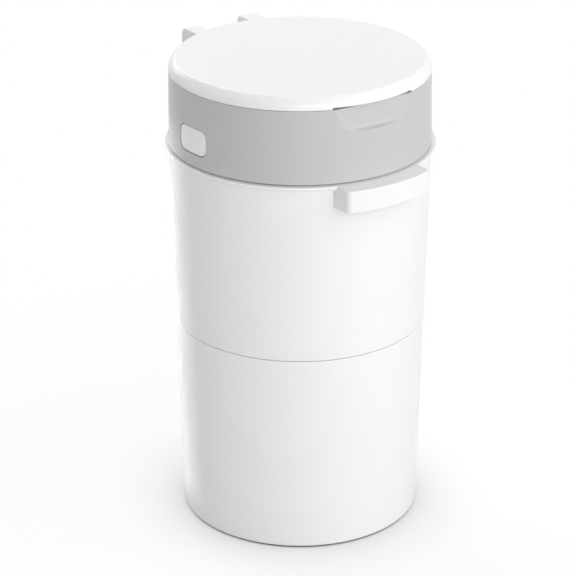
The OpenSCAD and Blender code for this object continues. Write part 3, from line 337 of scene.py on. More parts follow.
def moulded(name, level, rough=(0.32, 0.42), depth=0.02, cloud_scale=20.0, grain_scale=900.0,
            grain_depth=0.02, rub=0.35):
    """A plastic finish: faint clouds, a fine grain and rubbed edges."""
    material = bpy.data.materials.new(name)
    material.use_nodes = True
    tree = material.node_tree
    skin = tree.nodes["Principled BSDF"]
    skin.inputs["IOR"].default_value = 1.49
    skin.inputs["Specular IOR Level"].default_value = 0.45
    edge = add_node(tree, "ShaderNodeGroup", node_tree=rubbed)
    edge.inputs["Colour"].default_value = grey(level)
    edge.inputs["Rubbed colour"].default_value = grey(min(level + 8, 252))
    edge.inputs["Amount"].default_value = rub
    cloudy = add_node(tree, "ShaderNodeGroup", node_tree=clouds)
    cloudy.inputs["Depth"].default_value = depth
    cloudy.inputs["Scale"].default_value = cloud_scale
    cloudy.inputs["Roughness low"].default_value = rough[0]
    cloudy.inputs["Roughness high"].default_value = rough[1]
    pebbled = add_node(tree, "ShaderNodeGroup", node_tree=grain)
    pebbled.inputs["Scale"].default_value = grain_scale
    bump = add_node(tree, "ShaderNodeBump", Strength=0.5, Distance=grain_depth * MM)
    tree.links.new(edge.outputs["Colour"], cloudy.inputs["Colour"])
    tree.links.new(cloudy.outputs["Colour"], skin.inputs["Base Color"])
    tree.links.new(cloudy.outputs["Roughness"], skin.inputs["Roughness"])
    tree.links.new(pebbled.outputs["Height"], bump.inputs["Height"])
    tree.links.new(bump.outputs["Normal"], skin.inputs["Normal"])
    return material


body_white = moulded("shell_white_satin", 246, rough=(0.21, 0.25), depth=0.008, rub=0.2)
rim_white = moulded("rim_white_satin", 244, rough=(0.21, 0.25), depth=0.008, rub=0.2)
lid_white = moulded("lid_white_satin", 245, rough=(0.23, 0.27), depth=0.008, rub=0.2)
button_white = moulded("button_white", 250, rough=(0.19, 0.23), depth=0.008, grain_depth=0.01, rub=0.0)
inner_white = moulded("inner_white", 240, rough=(0.38, 0.5), depth=0.03)
collar_grey = moulded("collar_grey_satin", 198, rough=(0.28, 0.38), depth=0.025)
bracket_grey = moulded("bracket_grey", 190, rough=(0.4, 0.5))
inner_grey = moulded("inner_grey", 196, rough=(0.4, 0.5), depth=0.03)
flap_grey = moulded("flap_grey", 200, rough=(0.34, 0.44))
latch_grey = moulded("latch_grey", 176, rough=(0.34, 0.44))
print("plastic finishes made")

# %% Rubber and steel
def rubber(name, level):
    """A matt rubber with a dusty bloom in patches."""
    material = moulded(name, level, rough=(0.62, 0.8), depth=0.12, cloud_scale=55.0, grain_scale=1500.0,
                       grain_depth=0.03, rub=0.6)
    material.node_tree.nodes["Principled BSDF"].inputs["Specular IOR Level"].default_value = 0.3
    return material


def steel(name, level, rough, streaks):
    """Bright steel with turning or drawing marks, as a stretched noise."""
    material = bpy.data.materials.new(name)
    material.use_nodes = True
    tree = material.node_tree
    skin = tree.nodes["Principled BSDF"]
    skin.inputs["Metallic"].default_value = 1.0
    where = add_node(tree, "ShaderNodeTexCoord")
    turn = add_node(tree, "ShaderNodeMapping", Scale=streaks)
    marks = add_node(tree, "ShaderNodeTexNoise", Scale=400.0, Detail=4.0)
    shade = add_node(tree, "ShaderNodeMapRange", From_Min=0.3, From_Max=0.7)
    shade.inputs["To Min"].default_value = rough
    shade.inputs["To Max"].default_value = rough + 0.15
    edge = add_node(tree, "ShaderNodeGroup", node_tree=rubbed)
    edge.inputs["Colour"].default_value = grey(level)
    edge.inputs["Rubbed colour"].default_value = grey(min(level + 25, 250))
    bump = add_node(tree, "ShaderNodeBump", Strength=0.4, Distance=0.01 * MM)
    tree.links.new(where.outputs["Object"], turn.inputs["Vector"])
    tree.links.new(turn.outputs["Vector"], marks.inputs["Vector"])
    tree.links.new(marks.outputs["Fac"], shade.inputs["Value"])
    tree.links.new(shade.outputs["Result"], skin.inputs["Roughness"])
    tree.links.new(edge.outputs["Colour"], skin.inputs["Base Color"])
    tree.links.new(marks.outputs["Fac"], bump.inputs["Height"])
    tree.links.new(bump.outputs["Normal"], skin.inputs["Normal"])
    return material


seal_rubber = rubber("seal_rubber", 92)
foot_rubber = rubber("foot_rubber", 84)
pin_steel = steel("pin_steel", 196, 0.22, (0.1, 1, 1))
screw_steel = steel("screw_steel", 186, 0.28, (1, 1, 1))
spring_steel = steel("spring_steel", 176, 0.25, (1, 1, 1))
print("rubber and steel made")

# %% [markdown]
# ## Making pieces
# Most of the bin is turned: one outline, drawn as distance from the axis and height, is spun round. The
# outline is a flat face whose corners are rounded with a vertex bevel, so each corner keeps its own reach.
# Other pieces are outlines pushed straight through, then bevelled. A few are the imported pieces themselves,
# merged and given soft edges.

# %% Outlines
def outline(corners, segments=6):
    """A flat face in the XZ plane from (across, up, rounding) corners in mm."""
    bm = bmesh.new()
    verts = [bm.verts.new((across * MM, 0, up * MM)) for across, up, _ in corners]
    bm.faces.new(verts)
    roundings = {vert: corner[2] for vert, corner in zip(verts, corners)}
    for reach in sorted({corner[2] for corner in corners if corner[2]}):
        chosen = [v for v in verts if v.is_valid and roundings[v] == reach]
        bmesh.ops.bevel(bm, geom=chosen, offset=reach * MM, offset_type="OFFSET", segments=segments,
                        profile=0.5, affect="VERTICES", clamp_overlap=False, material=-1)
    bmesh.ops.remove_doubles(bm, verts=bm.verts[:], dist=0.002 * MM)
    for edge in [e for e in bm.edges if e.calc_length() > 5 * MM]:
        first, last = edge.verts
        _, near_first = bmesh.utils.edge_split(edge, first, 1.2 * MM / edge.calc_length())
        rest = next(e for e in near_first.link_edges if last in e.verts)
        bmesh.utils.edge_split(rest, last, 1.2 * MM / rest.calc_length())
    return bm


def tidied(bm):
    """Merges doubles and turns all faces outwards."""
    bmesh.ops.remove_doubles(bm, verts=bm.verts[:], dist=0.002 * MM)
    bmesh.ops.recalc_face_normals(bm, faces=bm.faces[:])
    return bm


def turned(corners, steps=256, segments=6, spans=None):
    """An outline spun round the bin's axis. spans are (degrees, steps) pairs where the steps aren't even."""
    bm = outline(corners, segments)
    bmesh.ops.delete(bm, geom=bm.faces[:], context="FACES_ONLY")
    on_axis = [e for e in bm.edges if all(abs(v.co.x) < 0.001 * MM for v in e.verts)]
    bmesh.ops.delete(bm, geom=on_axis, context="EDGES")
    spans = spans or [(360, steps)]
    last = bm.verts[:] + bm.edges[:]
    turn = Matrix.Rotation(math.radians(-90 - spans[0][0] / 2), 3, "Z")
    bmesh.ops.rotate(bm, cent=(0, 0, 0), matrix=turn, verts=bm.verts[:])
    for degrees, parts in spans:
        last = bmesh.ops.spin(bm, geom=last, cent=(0, 0, 0), axis=(0, 0, 1), dvec=(0, 0, 0),
                              angle=math.radians(degrees), steps=parts, use_merge=degrees == 360,
                              use_normal_flip=False, use_duplicate=False)["geom_last"]
    return tidied(bm)


def pushed(corners, low, high, soft=0.0, segments=6, soft_segments=3):
    """An outline drawn as Y and Z, pushed along X from low to high, with its end edges softened."""
    bm = outline(corners, segments)
    for v in bm.verts:
        v.co = Vector((low * MM, v.co.x, v.co.z))
    made = bmesh.ops.extrude_face_region(bm, geom=bm.faces[:])
    moved = [v for v in made["geom"] if isinstance(v, bmesh.types.BMVert)]
    bmesh.ops.translate(bm, verts=moved, vec=((high - low) * MM, 0, 0))
    tidied(bm)
    if soft:
        ends = [e for e in bm.edges if abs(e.verts[0].co.x - e.verts[1].co.x) < 0.001 * MM]
        bmesh.ops.bevel(bm, geom=ends, offset=soft * MM, offset_type="OFFSET", segments=soft_segments,
                        profile=0.5, affect="EDGES", clamp_overlap=True, material=-1)
        for x in (low + soft + 1.0, high - soft - 1.0):
            bmesh.ops.bisect_plane(bm, geom=bm.verts[:] + bm.edges[:] + bm.faces[:], dist=0,
                                   plane_co=(x * MM, 0, 0), plane_no=(1, 0, 0))
    return bm


def mirrored_copy(bm, axis):
    """A second bmesh mirrored in the plane square to X (0) or Y (1)."""
    other = bm.copy()
    scale = [1, 1, 1]
    scale[axis] = -1
    bmesh.ops.scale(other, vec=scale, verts=other.verts[:])
    bmesh.ops.reverse_faces(other, faces=other.faces[:])
    return other


def together(*parts):
    """One bmesh that holds all parts, which are used up."""
    whole = bmesh.new()
    for part in parts:
        holder = bpy.data.meshes.new("holder")
        part.to_mesh(holder)
        part.free()
        whole.from_mesh(holder)
        bpy.data.meshes.remove(holder)
    return whole


def at(*vector):
    """A move by a vector in mm."""
    return Matrix.Translation(Vector(vector) * MM)


def about(degrees, axis):
    """A turn about one of the main axes."""
    return Matrix.Rotation(math.radians(degrees), 4, axis)


def placed(bm, matrix):
    """The bmesh, moved and turned by a matrix."""
    bmesh.ops.transform(bm, matrix=matrix, verts=bm.verts[:])
    return bm


def bored_rod(corners, y=0.0, z=0.0, steps=48):
    """An outline of (radius, along, rounding) corners spun round a line along X at that Y and Z."""
    return placed(turned(corners, steps, 3), at(0, y, z) @ about(90, "Y"))


def rod(radius, low, high, y=0.0, z=0.0, soft=0.3):
    """A round bar along X with softened ends."""
    return bored_rod([(0, low, 0), (radius, low, soft), (radius, high, soft), (0, high, 0)], y, z)


def block(low, high, soft=0.0, segments=3):
    """A box between two corners in mm, with all its edges softened."""
    bm = bmesh.new()
    bmesh.ops.create_cube(bm, size=1)
    for v in bm.verts:
        v.co = Vector([((a + b) / 2 + c * (b - a)) * MM for a, b, c in zip(low, high, v.co)])
    if soft:
        bmesh.ops.bevel(bm, geom=bm.edges[:], offset=soft * MM, offset_type="OFFSET", segments=segments,
                        profile=0.5, affect="EDGES", clamp_overlap=True, material=-1)
    return bm


# %% Joining and cutting
def combined(base, tool, operation):
    """The base joined with, or cut by, the tool: UNION, DIFFERENCE or INTERSECT. Both are used up."""
    holders = []
    for bm in (base, tool):
        mesh = bpy.data.meshes.new("holder")
        bm.to_mesh(mesh)
        bm.free()
        holders.append(bpy.data.objects.new("holder", mesh))
        bpy.context.scene.collection.objects.link(holders[-1])
    cut = holders[0].modifiers.new("cut", "BOOLEAN")
    cut.solver = "EXACT"
    cut.operation = operation
    cut.object = holders[1]
    graph = bpy.context.evaluated_depsgraph_get()
    done = holders[0].evaluated_get(graph)
    result = bmesh.new()
    result.from_mesh(done.to_mesh())
    done.to_mesh_clear()
    for holder in holders:
        mesh = holder.data
        bpy.data.objects.remove(holder)
        bpy.data.meshes.remove(mesh)
    return tidied(result)


# %% Finishing a piece
made_pieces = []


def finish_piece(bm, name, body, material, slot_name, *nodes, crease=34):
    """Makes the object, smooth between creases, riding on its body and standing for its nodes."""
    open_edges = sum(not e.is_manifold for e in bm.edges)
    volume = bm.calc_volume(signed=True) / MM ** 3
    mesh = bpy.data.meshes.new(name)
    bm.to_mesh(mesh)
    bm.free()
    mesh.shade_smooth()
    mesh.set_sharp_from_angle(angle=math.radians(crease))
    mesh.materials.append(material)
    piece = bpy.data.objects.new(name, mesh)
    bpy.context.scene.collection.objects.link(piece)
    even = piece.modifiers.new("even shading", "WEIGHTED_NORMAL")
    even.keep_sharp = True
    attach(piece, body)
    if nodes:
        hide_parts(*nodes)
    made_pieces.append(piece)
    mesh.calc_loop_triangles()
    print(f"{name}: {len(mesh.loop_triangles)} triangles, {volume:.0f} mm3, open edges {open_edges}")
    return piece


def packed_copy(node, soft=0.4, segments=2, angle=35):
    """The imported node's mesh, merged, with its sharp edges softened."""
    bm = bmesh.new()
    bm.from_mesh(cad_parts[node].data)
    bmesh.ops.remove_doubles(bm, verts=bm.verts[:], dist=0.01 * MM)
    bmesh.ops.dissolve_limit(bm, angle_limit=math.radians(0.8), verts=bm.verts[:], edges=bm.edges[:],
                             use_dissolve_boundaries=False)
    sharp = [e for e in bm.edges if e.is_manifold and e.calc_face_angle(0) > math.radians(angle)]
    if soft:
        bmesh.ops.bevel(bm, geom=sharp, offset=soft * MM, offset_type="OFFSET", segments=segments,
                        profile=0.5, affect="EDGES", clamp_overlap=True, material=-1)
    return bm


# %% [markdown]
# ## Sizes of the bin
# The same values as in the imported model, in millimetres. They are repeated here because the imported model
# holds finished shapes, not the numbers they came from.

# %% Sizes
foot_r, rim_r, rim_z, seam_z = 117.8, 126.6, 380.6, 204.4
wall = 2.6


def body_r(z):
    """Outer radius of the tapered body at a height."""
    return foot_r + (rim_r - foot_r) * z / rim_z


ring_z, ring_top_z, collar_z, collar_top_z = 380.9, 384.1, 385.5, 456.5
lid_z, lid_top_z, collar_top_r, well_r = 457.0, 468.8, 125.3, 114.2
button_z, button_w, button_h = 410.3, 41.0, 24.8
recess_turn = Matrix.Rotation(math.radians(-1.9), 3, "Z")
print("lid from", lid_z, "to", lid_top_z)

# %% [markdown]
# ## Body shells
# Two turned tubs meet in a thin seam. The lower one has a floor and stands on four rubber feet; the upper
# one plugs into it with a spigot. The seam's two small chamfers make the fine shadow line of the
# photograph, so they are modelled and not painted.

# %% Lower shell
base_z = 1.2
lower_top = seam_z - 0.35
lower = turned([
    (0, base_z + 1.6, 0), (96.2, base_z + 1.6, 0), (97.8, base_z, 0.5), (body_r(base_z), base_z, 2.4),
    (body_r(lower_top), lower_top, 0.5), (body_r(lower_top) - wall, lower_top, 0.4),
    (119.74, 196.5, 0.2), (120.45, 195.4, 0.5), (119.69, 194.3, 0.2), (body_r(6) - wall, 5.8, 6),
    (0, 5.8, 0)])
pockets = bmesh.new()
for quarter in range(4):
    turn = Matrix.Rotation(math.radians(45 + 90 * quarter), 4, "Z")
    bmesh.ops.create_cone(pockets, cap_ends=True, segments=64, radius1=7.65 * MM, radius2=7.65 * MM,
                          depth=2 * MM, matrix=turn @ Matrix.Translation((107.5 * MM, 0, 1.2 * MM)))
lower = combined(lower, pockets, "DIFFERENCE")
finish_piece(lower, "lower_shell", "bin_body", body_white, "white_shell", "lower_body")

# %% Upper shell
upper_foot, spigot_r = seam_z + 0.35, 119.26
upper = turned([
    (body_r(upper_foot), upper_foot, 0.5), (rim_r, rim_z, 0.9), (rim_r - wall, rim_z, 0.5),
    (body_r(326.6) - wall, 326.6, 0), (body_r(326.6) - wall - 1.8, 326.6, 0.3),
    (body_r(326.6) - wall - 1.8, 325.6, 0.3), (body_r(322.6) - wall, 322.6, 0.6),
    (body_r(211) - wall, 210.75, 2), (spigot_r - 2.2, 206.75, 1), (spigot_r - 2.2, 188.4, 0.5),
    (spigot_r, 188.4, 0.8), (spigot_r, 194.5, 0.2), (spigot_r + 0.88, 195.4, 0.5), (spigot_r, 196.4, 0.2),
    (spigot_r, 199.85, 0.1), (spigot_r - 1, 199.85, 0.1), (spigot_r - 1, 202.05, 0.1), (spigot_r, 202.05, 0.1),
    (spigot_r, upper_foot, 0)], steps=288)
for sign in (-1, 1):
    rib = turned([(119.7, 366.6, 0.4), (124.8, 366.6, 0), (124.8, 369.6, 0), (119.7, 369.6, 0.4)], steps=256)
    rib = combined(rib, block((sign * 130 - 20, -10, 360), (sign * 130 + 20, 10, 375)), "INTERSECT")
    upper = combined(upper, rib, "UNION")


def screw_place(x, out=0.0):
    """Where a bracket screw stands, with Z out of the rear wall."""
    return at(x, math.sqrt(rim_r ** 2 - x * x) + out, 357.1) @ about(-90, "X")


for x in (-14, 14):
    boss = turned([(0, -6.6, 0), (5, -6.6, 0.6), (5, -1, 0), (0, -1, 0)], steps=64)
    upper = combined(upper, placed(boss, screw_place(x)), "UNION")
    bore = turned([(0, -9, 0), (1.65, -9, 0), (1.65, 2, 0), (0, 2, 0)], steps=48)
    upper = combined(upper, placed(bore, screw_place(x)), "DIFFERENCE")
finish_piece(upper, "upper_shell", "bin_body", body_white, "white_shell", "upper_body")

# %% [markdown]
# ## Rim ring with its front grip
# The ring is the lowest part of the head: a thin flange that stands out over the body, a skirt that plugs
# into it, and a hooked grip at the front in the same moulding. Turned ring, pushed grip and rear knuckle
# are joined, so they are one skin.

# %% Ring, grip and knuckle
ring = turned([
    (95.95, ring_z, 0.4), (119.6, ring_z, 0.4), (119.6, 370.4, 0.5), (121.8, 370.4, 0.6),
    (121.8, ring_z, 0.4), (131.0, ring_z, 1.0), (131.0, ring_top_z, 1.0), (95.95, ring_top_z, 0.4)],
    steps=320, segments=5)


def grip_block(radius, half_width, low, high, corner, soft_top=0.0, soft_foot=0.0):
    """The grip's outline seen from above, swung round its two corners and its front, and pushed up."""
    corner_x = half_width - corner
    corner_y = -math.sqrt((radius - corner) ** 2 - corner_x ** 2)
    front_half = math.atan2(corner_x, -corner_y)
    bm = bmesh.new()
    last = bm.verts.new((-half_width * MM, corner_y * MM, low * MM))
    tail = bm.verts.new((-half_width * MM, -100 * MM, low * MM))
    bm.edges.new((tail, last))
    for x, y, angle, steps in ((-corner_x, corner_y, math.pi / 2 - front_half, 8), (0, 0, 2 * front_half, 36),
                               (corner_x, corner_y, math.pi / 2 - front_half, 8)):
        swung = bmesh.ops.spin(bm, geom=[last], cent=(x * MM, y * MM, 0), axis=(0, 0, 1), dvec=(0, 0, 0),
                               angle=angle, steps=steps, use_merge=False, use_normal_flip=False,
                               use_duplicate=False)
        last = [v for v in swung["geom_last"] if isinstance(v, bmesh.types.BMVert)][0]
    head = bm.verts.new((half_width * MM, -100 * MM, low * MM))
    bm.edges.new((last, head))
    bm.edges.new((head, tail))
    bmesh.ops.contextual_create(bm, geom=bm.edges[:])
    made = bmesh.ops.extrude_face_region(bm, geom=bm.faces[:])
    bmesh.ops.translate(bm, verts=[v for v in made["geom"] if isinstance(v, bmesh.types.BMVert)],
                        vec=(0, 0, (high - low) * MM))
    tidied(bm)
    for level, soft in ((high, soft_top), (low, soft_foot)):
        if soft:
            rim = [e for e in bm.edges if all(abs(v.co.z - level * MM) < 0.001 * MM for v in e.verts)]
            bmesh.ops.bevel(bm, geom=rim, offset=soft * MM, offset_type="OFFSET", segments=4, profile=0.5,
                            affect="EDGES", clamp_overlap=True, material=-1)
    return bm


def disc(radius, low, high, steps=256):
    """A plain turned plug, used as a cutting tool."""
    return turned([(0, low, 0), (radius, low, 0), (radius, high, 0), (0, high, 0)], steps=steps)


grip = grip_block(147.5, 48, 362.6, ring_top_z, 5.0, soft_top=1.2, soft_foot=0.9)
grip = combined(grip, grip_block(144.9, 45.4, 361.0, ring_z, 2.4, soft_top=0.8), "DIFFERENCE")
grip = combined(grip, disc(127.5, 361.0, ring_z), "DIFFERENCE")
grip = combined(grip, disc(125.6, 361.0, 386.0), "DIFFERENCE")
ring = combined(ring, grip, "UNION")
knuckle = pushed([
    (118.6, ring_z, 0), (131.5, ring_z, 0), (131.5, 370.9, 7.99), (147.5, 370.9, 7.99),
    (147.5, 386.9, 7.99), (136.5, 386.3, 1.0), (129.6, ring_top_z, 0.6), (118.6, ring_top_z, 0)],
    -28, 28, soft=0.8, segments=12)
ring = combined(ring, knuckle, "UNION")
spring_wall = block((98.95, -13, 383.5), (101.35, 13, 418.9), 0.5)
for y in (-13, 11):
    gusset = placed(pushed([(101.0, 384.0, 0), (107.35, 384.0, 0.3), (101.0, 410.3, 0)], y, y + 2.0),
                    about(-90, "Z") @ at(-2 * y - 2.0, 0, 0))
    spring_wall = combined(spring_wall, gusset, "UNION")
spring_wall = combined(spring_wall, rod(3.1, 101.0, 105.35, z=button_z, soft=0.5), "UNION")
for y in (-11.3, 9.3):
    spring_wall = combined(spring_wall, block((101.0, y, 383.5), (116.1, y + 2, 389.1), 0.4), "UNION")
slot = block((107.6, -10, 379.0), (116.8, 10, 386.0))
ring = combined(ring, together(mirrored_copy(spring_wall, 0), spring_wall), "UNION")
bores = together(mirrored_copy(slot, 0), slot, rod(3.05, -29, 29, 139.5, 378.9, 0))
for quarter in range(4):
    bore = turned([(0, 379, 0), (1.65, 379, 0), (1.65, 386, 0), (0, 386, 0)], steps=48)
    bores = together(bores, placed(bore, about(45 + 90 * quarter, "Z") @ at(111, 0, 0)))
ring = combined(ring, bores, "DIFFERENCE")
finish_piece(ring, "rim_ring_grip", "head", rim_white, "white_rim", "rim_ring")

# %% [markdown]
# ## Collar
# The collar is a turned channel. At the front it is pressed back into a finger recess: a leaning flat that
# ends in a cove. Cutting that shape out would leave hard edges, so the turned wall's own points are moved
# back instead, with a smooth minimum that rounds every crossing of the two surfaces.

# %% Turned channel with rows where the recess needs them
recess_foot_z, recess_foot_y, recess_top_y, cove_r = 439.5, 120.7, 117.9, 5.7


def collar_r(z):
    """Outer radius of the collar at a height."""
    return rim_r - 1.3 * (z - collar_z) / (collar_top_z - collar_z)


ledge_rows = [recess_foot_z - cove_r * math.sin(math.radians(a)) for a in range(88, 0, -3)]
rows = [425.0, 430.0, 432.4, 433.0, 433.4, 433.6, 433.7, 433.76] + ledge_rows
rows += [recess_foot_z + 1.0 * k for k in range(0, 16)]
wall_rows = [(collar_r(z), z, 0) for z in rows]
inner_rows = [(collar_r(z) - wall, z, 0) for z in (453.0, 450.0, 446.0, 442.0, 439.5, 437.0, 434.8, 432.0, 428.0)]
channel = turned(
    [(rim_r, collar_z, 0.3)] + wall_rows +
    [(collar_top_r, collar_top_z, 0.8), (well_r, collar_top_z, 0.6), (well_r, 448.2, 0), (104.0, 448.2, 0.4),
     (104.0, 446.0, 0.4), (well_r + 2.2, 446.0, 0.5), (well_r + 2.2, collar_top_z - wall, 0),
     (collar_top_r - wall, collar_top_z - wall, 0)] + inner_rows +
    [(124.0, 390.3, 0), (122.2, 388.5, 0.4), (122.2, 384.4, 0.3), (124.0, 384.4, 0.3), (124.0, collar_z, 0)],
    spans=[(80, 240), (280, 140)], segments=4)
print("channel:", len(channel.verts), "points")


# %% Shape of the finger recess
def smooth_min(a, b, reach):
    """The smaller of two values, with a rounded crossing."""
    share = max(0.0, min(1.0, 0.5 + 0.5 * (b - a) / reach))
    return b + (a - b) * share - reach * share * (1 - share)


def recess_depth(z):
    """Distance of the recess from the bin's middle plane at a height."""
    drop = recess_foot_z - z
    if drop >= cove_r:
        return 200.0
    if drop > 0:
        return recess_foot_y + cove_r - math.sqrt(cove_r ** 2 - drop ** 2)
    return recess_foot_y - (recess_top_y - recess_foot_y) * drop / 17.0


def respaced(angle, z):
    """Moves an even column of the fine span, so that a bundle of ten follows the recess's side edge."""
    level = max(z, recess_foot_z)
    edge = math.degrees(math.acos(recess_depth(level) / collar_r(level)))
    stops = [(0, 0), (18.33, edge - 0.37), (21.67, edge + 0.37), (40, 40)]
    for (even0, new0), (even1, new1) in zip(stops, stops[1:]):
        if abs(angle) <= even1:
            return math.copysign(new0 + (new1 - new0) * (abs(angle) - even0) / (even1 - even0), angle)
    return angle


print("recess depth at its top", round(recess_depth(collar_top_z), 2))

# %% Press the recess into the wall
for v in channel.verts:
    x, y, z = v.co / MM
    radius = math.hypot(x, y)
    angle = math.radians(respaced(math.degrees(math.atan2(x, -y)), z))
    x, y = radius * math.sin(angle), -radius * math.cos(angle)
    v.co.x, v.co.y = x * MM, y * MM
    if y > -60 or z < 428 or radius < well_r + 2.4:
        continue
    inset = collar_r(z) - radius
    if inset < 1.2:
        reach = 0.12 + 0.45 * max(0.0, min(1.0, (recess_foot_z - z) / cove_r))
        depth = smooth_min(-y, recess_depth(z) - inset, reach)
    else:
        limit = max(recess_depth(z) - wall, math.sqrt((well_r + 2.6) ** 2 - x * x))
        depth = min(-y, limit) if z > 430 else -y
    v.co.y = -depth * MM
bmesh.ops.rotate(channel, cent=(0, 0, 0), matrix=recess_turn, verts=channel.verts[:])
print("recess pressed in")

# %% Button holes, lid bracket and finish
def rounded_block(width, height, corner, levels):
    """A bar along X with a rounded oblong outline. levels are (x, growth) pairs from its back to its face."""
    w, h = width / 2, height / 2
    bm = outline([(-w, button_z - h, corner), (w, button_z - h, corner), (w, button_z + h, corner),
                  (-w, button_z + h, corner)], 8)
    for v in bm.verts:
        v.co = Vector((levels[0][0] * MM, v.co.x, v.co.z))
    edges = bm.edges[:]
    centre_z = button_z * MM
    for (x0, grow0), (x1, grow1) in zip(levels, levels[1:]):
        made = bmesh.ops.extrude_edge_only(bm, edges=edges)["geom"]
        moved = [v for v in made if isinstance(v, bmesh.types.BMVert)]
        edges = [e for e in made if isinstance(e, bmesh.types.BMEdge) and all(v in moved for v in e.verts)]
        bmesh.ops.translate(bm, verts=moved, vec=((x1 - x0) * MM, 0, 0))
        for v in moved:
            v.co.y *= (w + grow1) / (w + grow0)
            v.co.z = centre_z + (v.co.z - centre_z) * (h + grow1) / (h + grow0)
    bmesh.ops.contextual_create(bm, geom=edges)
    return tidied(bm)


def bent_round(bm, strips=20, width=60.0):
    """Splits a bar into upright strips and bends it to the collar's wall."""
    for k in range(1, strips):
        y = (k / strips - 0.5) * width * MM
        bmesh.ops.bisect_plane(bm, geom=bm.verts[:] + bm.edges[:] + bm.faces[:], dist=0,
                               plane_co=(0, y, 0), plane_no=(0, 1, 0), clear_outer=False, clear_inner=False)
    flat_r = collar_r(button_z)
    for v in bm.verts:
        y, z = v.co.y / MM, v.co.z / MM
        v.co.x -= (flat_r - math.sqrt(collar_r(z) ** 2 - y * y)) * MM
    return bm


button_face = collar_r(button_z)
hole = bent_round(rounded_block(button_w + 1.6, button_h + 1.6, 8.8, [
    (105, 0), (button_face - 0.5, 0), (button_face, 0.5), (134, 0.5)]))
frame_bar = rounded_block(button_w + 10, button_h + 10, 13.0, [(118.15, 0), (123.0, 0)])
channel = combined(channel, together(mirrored_copy(frame_bar, 0), frame_bar), "UNION")
for quarter in range(4):
    boss = turned([(1.65, 384.1, 0.2), (4.6, 384.1, 0.3), (4.6, 400.1, 0.5), (1.65, 400.1, 0)], steps=64)
    boss = combined(boss, block((4.0, -1.2, 385.5), (13.9, 1.2, 400.1)), "UNION")
    channel = combined(channel, placed(boss, about(45 + 90 * quarter, "Z") @ at(111, 0, 0)), "UNION")
inner_hole = rounded_block(button_w + 1.6, button_h + 1.6, 8.8, [(105, 0), (118, 0), (125, 0)])
channel = combined(channel, together(mirrored_copy(inner_hole, 0), inner_hole), "DIFFERENCE")
channel = combined(channel, together(mirrored_copy(hole, 0), hole), "DIFFERENCE")
lid_bracket = pushed([
    (121.0, 434.5, 0), (131.5, 443.2, 0), (138.3, 443.2, 6.79), (138.3, 455.6, 5.5), (121.0, 455.6, 0)],
    -23.9, 23.9, soft=0.7, segments=10)
channel = combined(channel, lid_bracket, "UNION")
channel = combined(channel, rod(2.25, -26, 26, 131.5, 450.0, 0), "DIFFERENCE")
finish_piece(channel, "collar_ring", "head", collar_grey, "collar_grey", "collar")

# %% [markdown]
# ## Buttons
# Each button is a rounded oblong that follows the collar's round wall. It is a straight block with a
# softened face, split into upright strips and then bent, so its face keeps an even edge all round.

# %% Left and right button
for side, sign in (("left", -1), ("right", 1)):
    cap = rounded_block(button_w, button_h, 8.0, [(button_face - 8.3, 0), (button_face - 0.45, 0)])
    front_edges = [e for e in cap.edges if all(v.co.x > (button_face - 0.5) * MM for v in e.verts)]
    bmesh.ops.bevel(cap, geom=front_edges, offset=1.1 * MM, offset_type="OFFSET", segments=4, profile=0.5,
                    affect="EDGES", clamp_overlap=False, material=-1)
    bent_round(cap, 24, 48.0)
    hollow = bent_round(rounded_block(button_w - 4.4, button_h - 4.4, 5.8, [
        (button_face - 9.5, 0), (button_face - 2.65, 0)]), 24, 48.0)
    cap = combined(cap, hollow, "DIFFERENCE")
    if sign < 0:
        cap = mirrored_copy(cap, 0)
    finish_piece(cap, side + "_button_cap", side + "_button", button_white, "button_white", side + "_button")

# %% [markdown]
# ## Lid
# A shallow turned cap. Its edge curves in later and later on its way up and meets the flat top in a crease,
# which shows as a fine line in the photograph. Two lugs at the rear carry it on its pin, and a low notch in
# the front edge lets a finger under it.

# %% Lid profile
def lid_edge(inset, share):
    """Corners up the lid's curved edge, moved square to it by an inset, up to a share of its height."""
    corners = []
    for k in range(15):
        t = share * k / 14
        slope = 6.3 * 2.5 * t ** 1.5 / 11.6
        length = math.hypot(1, slope)
        corners.append((collar_top_r - 6.3 * t ** 2.5 - inset / length, lid_z + 0.2 + 11.6 * t - inset * slope / length, 0))
    return corners


outside_edge, inside_edge = lid_edge(0, 1), lid_edge(2.4, 0.94)
crease_r, crease_z, _ = outside_edge.pop()
cap = turned(
    [(collar_top_r, lid_z, 0.15)] + outside_edge[1:] + [(crease_r, lid_top_z, 0.35), (0, lid_top_z, 0),
     (0, lid_top_z - 2.4, 0), (inside_edge[-1][0] - 0.3, lid_top_z - 2.4, 0)] + inside_edge[:0:-1] +
    [(collar_top_r - 2.4, lid_z, 0.4)], steps=360, segments=4)
print("crease at radius", round(crease_r, 1))


